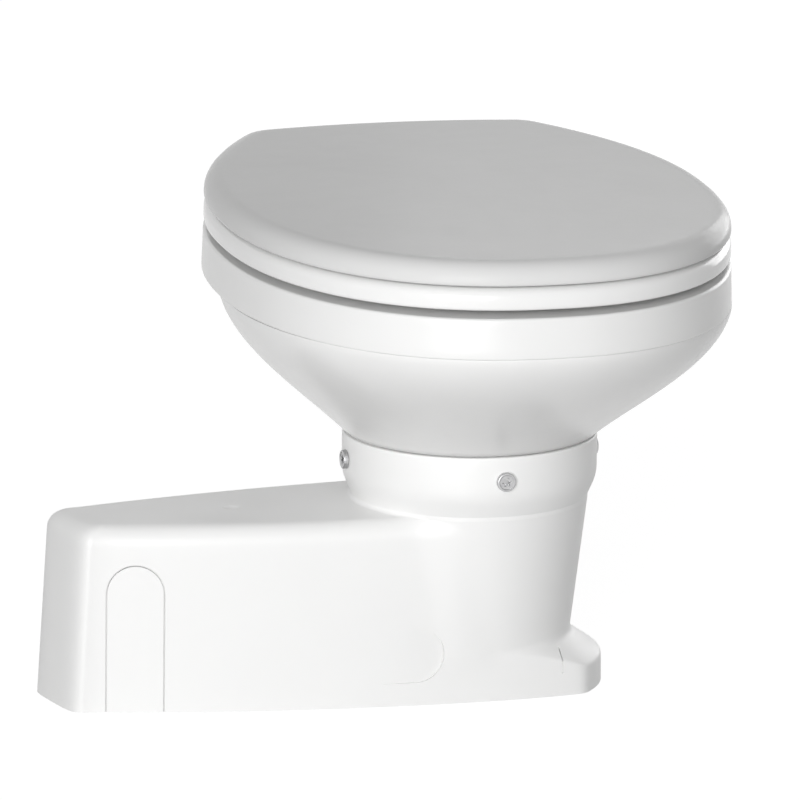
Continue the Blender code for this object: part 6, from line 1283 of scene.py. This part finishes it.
hose = swept([(place, HOSE_RADIUS) for place in hose_path], HOSE_RADIUS - HOSE_WALL)
stand_for("rinse_hose", hose, white_hose, HOSE_EDGE)
band_inner = HOSE_RADIUS + TOUCH_GAP
bead = BAND_THICKNESS / 2.0
waist = band_inner + BAND_THICKNESS * BAND_WAIST_SHARE
band_profile = [(band_inner, 0.0), (band_inner, BAND_WIDTH)]
band_profile += arc(band_inner + bead, BAND_WIDTH - bead, bead, QUARTER, -QUARTER, BEAD_STEPS)
band_profile += [(waist, BAND_WIDTH - BAND_THICKNESS), (waist, BAND_THICKNESS)]
band_profile += arc(band_inner + bead, bead, bead, QUARTER, -QUARTER, BEAD_STEPS)
band_steel = surface_finish("band_steel", lines, {"Scale": 300.0, "Direction": (1.0, 1.0, 12.0)},
                            BAND_STEEL_LIGHT, BAND_STEEL_DARK, rough=(0.24, 0.36), relief=0.000004,
                            metallic=1.0)
lower_band = upright_place(math.pi, RINSE_HEIGHT) @ moved(0.0, 0.0, HOSE_START + BAND_INSET)
upper_band = moved(hose_end.x, hose_end.y, HOSE_TOP - BAND_INSET - BAND_WIDTH)
for band_name, place in (("lower", lower_band), ("upper", upper_band)):
    stand_for("hose_clamp_" + band_name, turned(band_profile, place), band_steel)

# Hinges of the seat and the lid: a nylon post on the shelf at each side, bolted through it with a
# rubber washer and a nylon wing nut below. A steel pin through each post carries both straps.

HINGE_HEIGHT = 0.3310
POST_WIDTH = 0.0120
POST_DEPTH = 0.0110
POST_PLATE_FRONT = 0.0300
POST_PLATE_BACK = 0.0070
POST_PLATE_WIDTH = 0.0240
POST_PLATE_THICKNESS = 0.0035
HINGE_SIDE_GAP = 0.0006
KNUCKLE_WIDTH = 0.0100
PIN_RADIUS = 0.0030
PIN_HEAD_RADIUS = 0.0048
PIN_HEAD_WIDTH = 0.0020
BOLT_RADIUS = 0.0040
BOLT_HEAD_RADIUS = 0.0068
BOLT_HEAD_HEIGHT = 0.0028
BOLT_LENGTH = 0.046
BOLT_SLOT_WIDTH = 0.0012
BOLT_SLOT_DEPTH = 0.0012
THREAD_PITCH = 0.00125
THREAD_DEPTH = 0.0007
THREAD_LENGTH = 0.026
WASHER_RADIUS = 0.0110
WASHER_THICKNESS = 0.0030
WING_NUT_RADIUS = 0.0080
WING_NUT_HEIGHT = 0.0080
WING_REACH = 0.0150
WING_THICKNESS = 0.0030
WING_HEIGHT = 0.0130
WING_NUT_SHOULDER_SHARE = 0.4
WING_NUT_FOOT_SHARE = 0.8
PIN_CHAMFER = PIN_RADIUS / 6.0
RUNNING_GAP = 0.0004
POST_EDGE = 0.0006
POST_STEPS = 16
BOLT_HEAD_STEPS = 8
WING_STEPS = 10
PIN_HEAD_STEPS = 6
SIDES = ((-1.0, "left"), (1.0, "right"))


def seen_from_side(x, height):
    """A plane whose own X looks back and own Y up, on the hinge axis at this place across the bowl."""
    return BOWL_PLACE @ moved(x, HINGE_AXIS, height) @ Matrix.Rotation(QUARTER, 4, "Z") @ LYING


shelf = RIM_TOP - SHELF_DROP + TOUCH_GAP
plate_top = shelf + POST_PLATE_THICKNESS
post_half = POST_DEPTH / 2.0
post_side = [(-POST_PLATE_FRONT, 0.0), (POST_PLATE_BACK, 0.0), (POST_PLATE_BACK, POST_PLATE_THICKNESS),
             (post_half, POST_PLATE_THICKNESS)]
post_side += arc(0.0, HINGE_HEIGHT - shelf, post_half, 0.0, math.pi, POST_STEPS)
post_side += [(-post_half, POST_PLATE_THICKNESS), (-POST_PLATE_FRONT, POST_PLATE_THICKNESS)]
bolt_top = plate_top + TOUCH_GAP
bolt_profile = [(0.0, bolt_top + BOLT_HEAD_HEIGHT)]
bolt_profile += arc(0.0, bolt_top, BOLT_HEAD_RADIUS, QUARTER, 0.0, BOLT_HEAD_STEPS, BOLT_HEAD_HEIGHT)[1:]
bolt_profile.append((BOLT_RADIUS, bolt_top))
thread_top = bolt_top - BOLT_LENGTH + THREAD_LENGTH
for i in range(round(THREAD_LENGTH / THREAD_PITCH)):
    bolt_profile.append((BOLT_RADIUS, thread_top - THREAD_PITCH * i))
    bolt_profile.append((BOLT_RADIUS - THREAD_DEPTH, thread_top - THREAD_PITCH * (i + 0.5)))
bolt_profile += [(BOLT_RADIUS - THREAD_DEPTH, bolt_top - BOLT_LENGTH), (0.0, bolt_top - BOLT_LENGTH)]
slot_half = BOLT_SLOT_WIDTH / 2.0
bolt_slot = [(-BOLT_HEAD_RADIUS, -slot_half), (BOLT_HEAD_RADIUS, -slot_half), (BOLT_HEAD_RADIUS, slot_half),
             (-BOLT_HEAD_RADIUS, slot_half)]
nut_inner = BOLT_RADIUS + RUNNING_GAP
washer_top = RIM_BOTTOM - TOUCH_GAP
washer_bottom = washer_top - WASHER_THICKNESS
washer_profile = [(nut_inner, washer_top), (WASHER_RADIUS, washer_top), (WASHER_RADIUS, washer_bottom),
                  (nut_inner, washer_bottom)]
nut_top = washer_bottom - TOUCH_GAP
nut_bottom = nut_top - WING_NUT_HEIGHT
nut_profile = [(nut_inner, nut_top), (WING_NUT_RADIUS, nut_top),
               (WING_NUT_RADIUS, nut_top - WING_NUT_HEIGHT * WING_NUT_SHOULDER_SHARE),
               (WING_NUT_RADIUS * WING_NUT_FOOT_SHARE, nut_bottom), (nut_inner, nut_bottom)]
wing_side = [(WING_NUT_RADIUS - WING_THICKNESS, nut_top - TOUCH_GAP), (WING_NUT_RADIUS, nut_top - TOUCH_GAP)]
wing_side += arc(WING_REACH - WING_THICKNESS, nut_top - WING_HEIGHT + WING_THICKNESS, WING_THICKNESS,
                 0.0, -math.pi, WING_STEPS)
wing_side.append((WING_NUT_RADIUS - WING_THICKNESS, nut_bottom))
pin_end = POST_WIDTH / 2.0 + HINGE_SIDE_GAP + KNUCKLE_WIDTH
pin_head = pin_end + HINGE_SIDE_GAP
pin_profile = [(0.0, pin_head + PIN_HEAD_WIDTH)]
pin_profile += arc(0.0, pin_head, PIN_HEAD_RADIUS, QUARTER, 0.0, PIN_HEAD_STEPS, PIN_HEAD_WIDTH)[1:]
pin_profile += [(PIN_RADIUS, pin_head), (PIN_RADIUS, PIN_CHAMFER - pin_end),
                (PIN_RADIUS - PIN_CHAMFER, -pin_end), (0.0, -pin_end)]
for side, side_name in SIDES:
    middle = side * HINGE_PLACE
    bolt_place = BOWL_PLACE @ moved(middle, HINGE_AXIS - BOLT_PLACE, 0.0)
    post = prism(post_side, -POST_WIDTH / 2.0, POST_WIDTH / 2.0, seen_from_side(middle, shelf))
    foot_plate = plate_block((middle - POST_PLATE_WIDTH / 2.0, HINGE_AXIS - POST_PLATE_FRONT, shelf),
                             (middle + POST_PLATE_WIDTH / 2.0, HINGE_AXIS - post_half - TOUCH_GAP, plate_top))
    pin_hole = drilled(PIN_RADIUS + RUNNING_GAP, -POST_WIDTH, POST_WIDTH, seen_from_side(middle, HINGE_HEIGHT))
    bolt_hole = drilled(nut_inner, shelf - OVERRUN, plate_top + OVERRUN, bolt_place)
    post = carved(carved(post, [foot_plate], "UNION"), [pin_hole, bolt_hole])
    stand_for("hinge_post_" + side_name, post, white_nylon, POST_EDGE)
    pin_place = BOWL_PLACE @ moved(middle, HINGE_AXIS, HINGE_HEIGHT) @ Matrix.Rotation(side * QUARTER, 4, "Y")
    stand_for("hinge_pin_" + side_name, turned(pin_profile, pin_place), bright_steel)
    slot = prism(bolt_slot, bolt_top + BOLT_HEAD_HEIGHT - BOLT_SLOT_DEPTH,
                 bolt_top + 2.0 * BOLT_HEAD_HEIGHT, bolt_place)
    stand_for("hinge_bolt_" + side_name, carved(turned(bolt_profile, bolt_place), [slot]), bright_steel)
    stand_for("hinge_washer_" + side_name, turned(washer_profile, bolt_place), black_rubber, MOULDED_EDGE)
    wings = [prism(wing_side, -WING_THICKNESS / 2.0, WING_THICKNESS / 2.0,
                   bolt_place @ Matrix.Rotation(turn, 4, "Z") @ LYING) for turn in (0.0, math.pi)]
    wing_nut = carved(turned(nut_profile, bolt_place), wings, "UNION")
    stand_for("wing_nut_" + side_name, wing_nut, white_nylon, MOULDED_EDGE)

# Seat: a ring of pressed wood with white gloss enamel, its edges rounded all round. Two pockets
# under its back take the hinge straps, which are screwed there.

SEAT_BOTTOM = 0.3154
SEAT_THICKNESS = 0.0156
SEAT_TOP_ROUND = 0.0075
SEAT_BOTTOM_ROUND = 0.0025
SEAT_OPENING_HALF_WIDTH = 0.108
SEAT_OPENING_HALF_LENGTH = 0.140
EDGE_STEPS = 8
SUPPORT_SHARE = 0.04
STRAP_THICKNESS = 0.0030
STRAP_FRONT = 0.0340
STRAP_POCKET_GAP = 0.0004
SEAT_ENAMEL = (0.890, 0.890, 0.885)
SEAT_ENAMEL_DARK = (0.875, 0.875, 0.870)

peel = grained("enamel_peel", scale=250.0, detail=0.0, tone_share=0.04, sheen_share=0.20)


def rounded_sides(ring_at, bottom, top, bottom_round, top_round):
    """Rings up a rounded edge from the bottom face to the top face."""
    edge = arc(-bottom_round, bottom + bottom_round, bottom_round, -QUARTER, 0.0, EDGE_STEPS // 2)
    edge += arc(-top_round, top - top_round, top_round, 0.0, QUARTER, EDGE_STEPS)
    return [ring_at(*point) for point in edge]


def flat_rings(first, last, height):
    """Rings over a flat face between two of its edges, close to both, so that its shading stays flat."""
    return [mixed(first, last, share, height) for share in (SUPPORT_SHARE, 0.5, 1.0 - SUPPORT_SHARE)]


def seat_opening(growth, height):
    """The seat's oval opening, drawn in by the growth."""
    return oval_ring(SEAT_OPENING_HALF_WIDTH - growth, SEAT_OPENING_HALF_LENGTH - growth, OPENING_CENTRE,
                     height)


def strap_place(side, which):
    """Middle of a strap across the bowl: the lid's lies outside the post and the seat's inside it."""
    return side * (HINGE_PLACE + which * (POST_WIDTH / 2.0 + HINGE_SIDE_GAP + KNUCKLE_WIDTH / 2.0))


def strap_pockets(bottom, which):
    """Cutters for a board's two strap pockets."""
    pockets = []
    for side in (-1.0, 1.0):
        middle = strap_place(side, which)
        half = KNUCKLE_WIDTH / 2.0 + STRAP_POCKET_GAP
        front = HINGE_AXIS - STRAP_FRONT - STRAP_POCKET_GAP
        pockets.append(plate_block((middle - half, front, bottom - OVERRUN),
                                   (middle + half, HINGE_AXIS, bottom + STRAP_THICKNESS + STRAP_POCKET_GAP)))
    return pockets


seat_top = SEAT_BOTTOM + SEAT_THICKNESS
outside = rounded_sides(outline_ring, SEAT_BOTTOM, seat_top, SEAT_BOTTOM_ROUND, SEAT_TOP_ROUND)
inside = rounded_sides(seat_opening, SEAT_BOTTOM, seat_top, SEAT_BOTTOM_ROUND, SEAT_TOP_ROUND)
seat_rings = (outside + flat_rings(outside[-1], inside[-1], seat_top) + inside[::-1]
              + flat_rings(inside[0], outside[0], SEAT_BOTTOM))
seat_skin = lofted(seat_rings, place=BOWL_PLACE)
seat_enamel = surface_finish("seat_enamel", peel, {"Scale": 260.0}, SEAT_ENAMEL, SEAT_ENAMEL_DARK,
                             rough=(0.14, 0.20), relief=0.000010)
seat_board = carved(seat_skin.copy(), strap_pockets(SEAT_BOTTOM, -1.0))
stand_for("seat", shaded_like(seat_board, seat_skin), seat_enamel)

# Straps of the seat and the lid: flat leaves of white nylon in the boards' pockets, with a knuckle
# round the pin at their back ends.

STRAP_EDGE = 0.0005
KNUCKLE_RADIUS = 0.0060
KNUCKLE_STEPS = 16
LOW_KNUCKLE_STEPS = 20


def strap_side(bottom):
    """Side view of a strap: a flat leaf under the board that rises to a knuckle round the pin."""
    rise = HINGE_HEIGHT - bottom
    points = [(-STRAP_FRONT, 0.0), (-STRAP_FRONT, STRAP_THICKNESS)]
    if rise > KNUCKLE_RADIUS:
        points.append((-KNUCKLE_RADIUS, STRAP_THICKNESS))
        points += arc(0.0, rise, KNUCKLE_RADIUS, math.pi, 0.0, KNUCKLE_STEPS)
        return points + [(KNUCKLE_RADIUS, STRAP_THICKNESS), (KNUCKLE_RADIUS - STRAP_THICKNESS, 0.0)]
    meet = QUARTER + math.acos(min((STRAP_THICKNESS - rise) / KNUCKLE_RADIUS, 1.0))
    leave = math.acos(max(min(-rise / KNUCKLE_RADIUS, 1.0), -1.0)) - 3.0 * QUARTER
    return points + arc(0.0, rise, KNUCKLE_RADIUS, meet, leave, LOW_KNUCKLE_STEPS)


def strap_piece(node_name, middle, bottom):
    """A strap with its bore for the pin."""
    bottom = bottom + TOUCH_GAP
    strap = prism(strap_side(bottom), -KNUCKLE_WIDTH / 2.0, KNUCKLE_WIDTH / 2.0, seen_from_side(middle, bottom))
    bore = drilled(PIN_RADIUS + RUNNING_GAP, -KNUCKLE_WIDTH, KNUCKLE_WIDTH,
                   seen_from_side(middle, HINGE_HEIGHT))
    return stand_for(node_name, carved(strap, [bore]), white_nylon, STRAP_EDGE)


for side, side_name in SIDES:
    strap_piece("seat_hinge_" + side_name, strap_place(side, -1.0), SEAT_BOTTOM)

# Seat buffers: four discs of white rubber under the seat, on which it rests on the rim. Each is
# pinned in a shallow hole and narrows a little towards the rim.

BUFFER_RADIUS = 0.0085
BUFFER_EDGE = 0.0008
BUFFER_EDGE_STEPS = 4
SEAT_BUFFER_LIFT = 0.0004
SEAT_BUFFER_NARROW = 0.85
SEAT_BUFFER_SHARES = (("front", 0.36, 0.62), ("back", 0.80, -0.12))
BUFFER_SETBACK = 0.10
BUFFER_BACK_START = 0.42
BUFFER_WHITE = (0.80, 0.80, 0.78)
BUFFER_GREY = (0.74, 0.74, 0.72)

white_rubber = surface_finish("white_rubber", grain, {"Scale": 1400.0}, BUFFER_WHITE, BUFFER_GREY,
                              rough=(0.50, 0.62), relief=0.000008)


def buffer_spot(side, x_share, y_share, end):
    """A place on the ring, by shares of the outline's half width and length."""
    x = side * OUTLINE_HALF_WIDTH * x_share
    if end == "front":
        return x, OUTLINE_WIDEST - OUTLINE_FRONT * y_share - OUTLINE_HALF_WIDTH * BUFFER_SETBACK
    return x, OUTLINE_WIDEST + OUTLINE_CORNER * (BUFFER_BACK_START + y_share)


def buffer_piece(node_name, spot, radius, narrow, low, high):
    """A short rubber disc with a rounded lower edge."""
    foot = radius * narrow - BUFFER_EDGE
    edge = arc(foot, low + BUFFER_EDGE, BUFFER_EDGE, 0.0, -QUARTER, BUFFER_EDGE_STEPS)
    profile = [(0.0, high), (radius, high), *edge, (0.0, low)]
    return stand_for(node_name, turned(profile, BOWL_PLACE @ moved(*spot, 0.0)), white_rubber)


for end, x_share, y_share in SEAT_BUFFER_SHARES:
    for side, side_name in SIDES:
        buffer_piece("seat_buffer_%s_%s" % (end, side_name), buffer_spot(side, x_share, y_share, end),
                     BUFFER_RADIUS, SEAT_BUFFER_NARROW, RIM_TOP + SEAT_BUFFER_LIFT, SEAT_BOTTOM - TOUCH_GAP)

# Lid: a board of pressed wood with the same enamel as the seat, over the whole seat, though its colour is
# painted darker than the seat's: painted shade for its top face. Its top edge has a wide round and its face is
# very slightly crowned.

LID_BOTTOM = 0.3324
LID_THICKNESS = 0.0167
LID_TOP_ROUND = 0.0135
LID_BOTTOM_ROUND = 0.0022
LID_CROWN = 0.0008
# The lid's two colours are painted shade: the same white enamel as the seat's, darkened so that the lid's top
# face looks shaded.
LID_ENAMEL_PAINTED_SHADE = (0.745, 0.745, 0.742)
LID_ENAMEL_DARK_PAINTED_SHADE = (0.730, 0.730, 0.727)
LID_SPECULAR = 0.05
LID_FACE_SHARES = (SUPPORT_SHARE / 2.0, SUPPORT_SHARE * 2.0, 0.2, 0.35, 0.5, 0.65, 0.8, 0.95)
LID_BUFFER_RADIUS = 0.0050
LID_BUFFER_NARROW = 0.9
LID_BUFFER_SHARES = (0.34, 0.70)

lid_top = LID_BOTTOM + LID_THICKNESS
lid_sides = rounded_sides(outline_ring, LID_BOTTOM, lid_top, LID_BOTTOM_ROUND, LID_TOP_ROUND)
middle_ring = [(0.0, OUTLINE_WIDEST, 0.0)] * len(OUTLINE)
lid_under = [mixed(lid_sides[0], middle_ring, share, LID_BOTTOM) for share in (0.5, SUPPORT_SHARE)]
lid_face = [mixed(lid_sides[-1], middle_ring, share, lid_top + LID_CROWN * (1.0 - (1.0 - share) ** 2))
            for share in LID_FACE_SHARES]
lid_skin = lofted(lid_under + lid_sides + lid_face, closed_loop=False, place=BOWL_PLACE)
# This material carries the lid's painted shade in its darkened colours.
lid_enamel_painted_shade = surface_finish("lid_enamel_painted_shade", peel, {"Scale": 260.0}, LID_ENAMEL_PAINTED_SHADE, LID_ENAMEL_DARK_PAINTED_SHADE,
                            rough=(0.18, 0.24), relief=0.000010, specular=LID_SPECULAR)
lid_board = carved(lid_skin.copy(), strap_pockets(LID_BOTTOM, 1.0))
stand_for("lid", shaded_like(lid_board, lid_skin), lid_enamel_painted_shade)
for side, side_name in SIDES:
    strap_piece("lid_hinge_" + side_name, strap_place(side, 1.0), LID_BOTTOM)
for side, side_name in SIDES:
    buffer_piece("lid_buffer_" + side_name, buffer_spot(side, *LID_BUFFER_SHARES, "front"), LID_BUFFER_RADIUS,
                 LID_BUFFER_NARROW, seat_top + TOUCH_GAP, LID_BOTTOM - TOUCH_GAP)
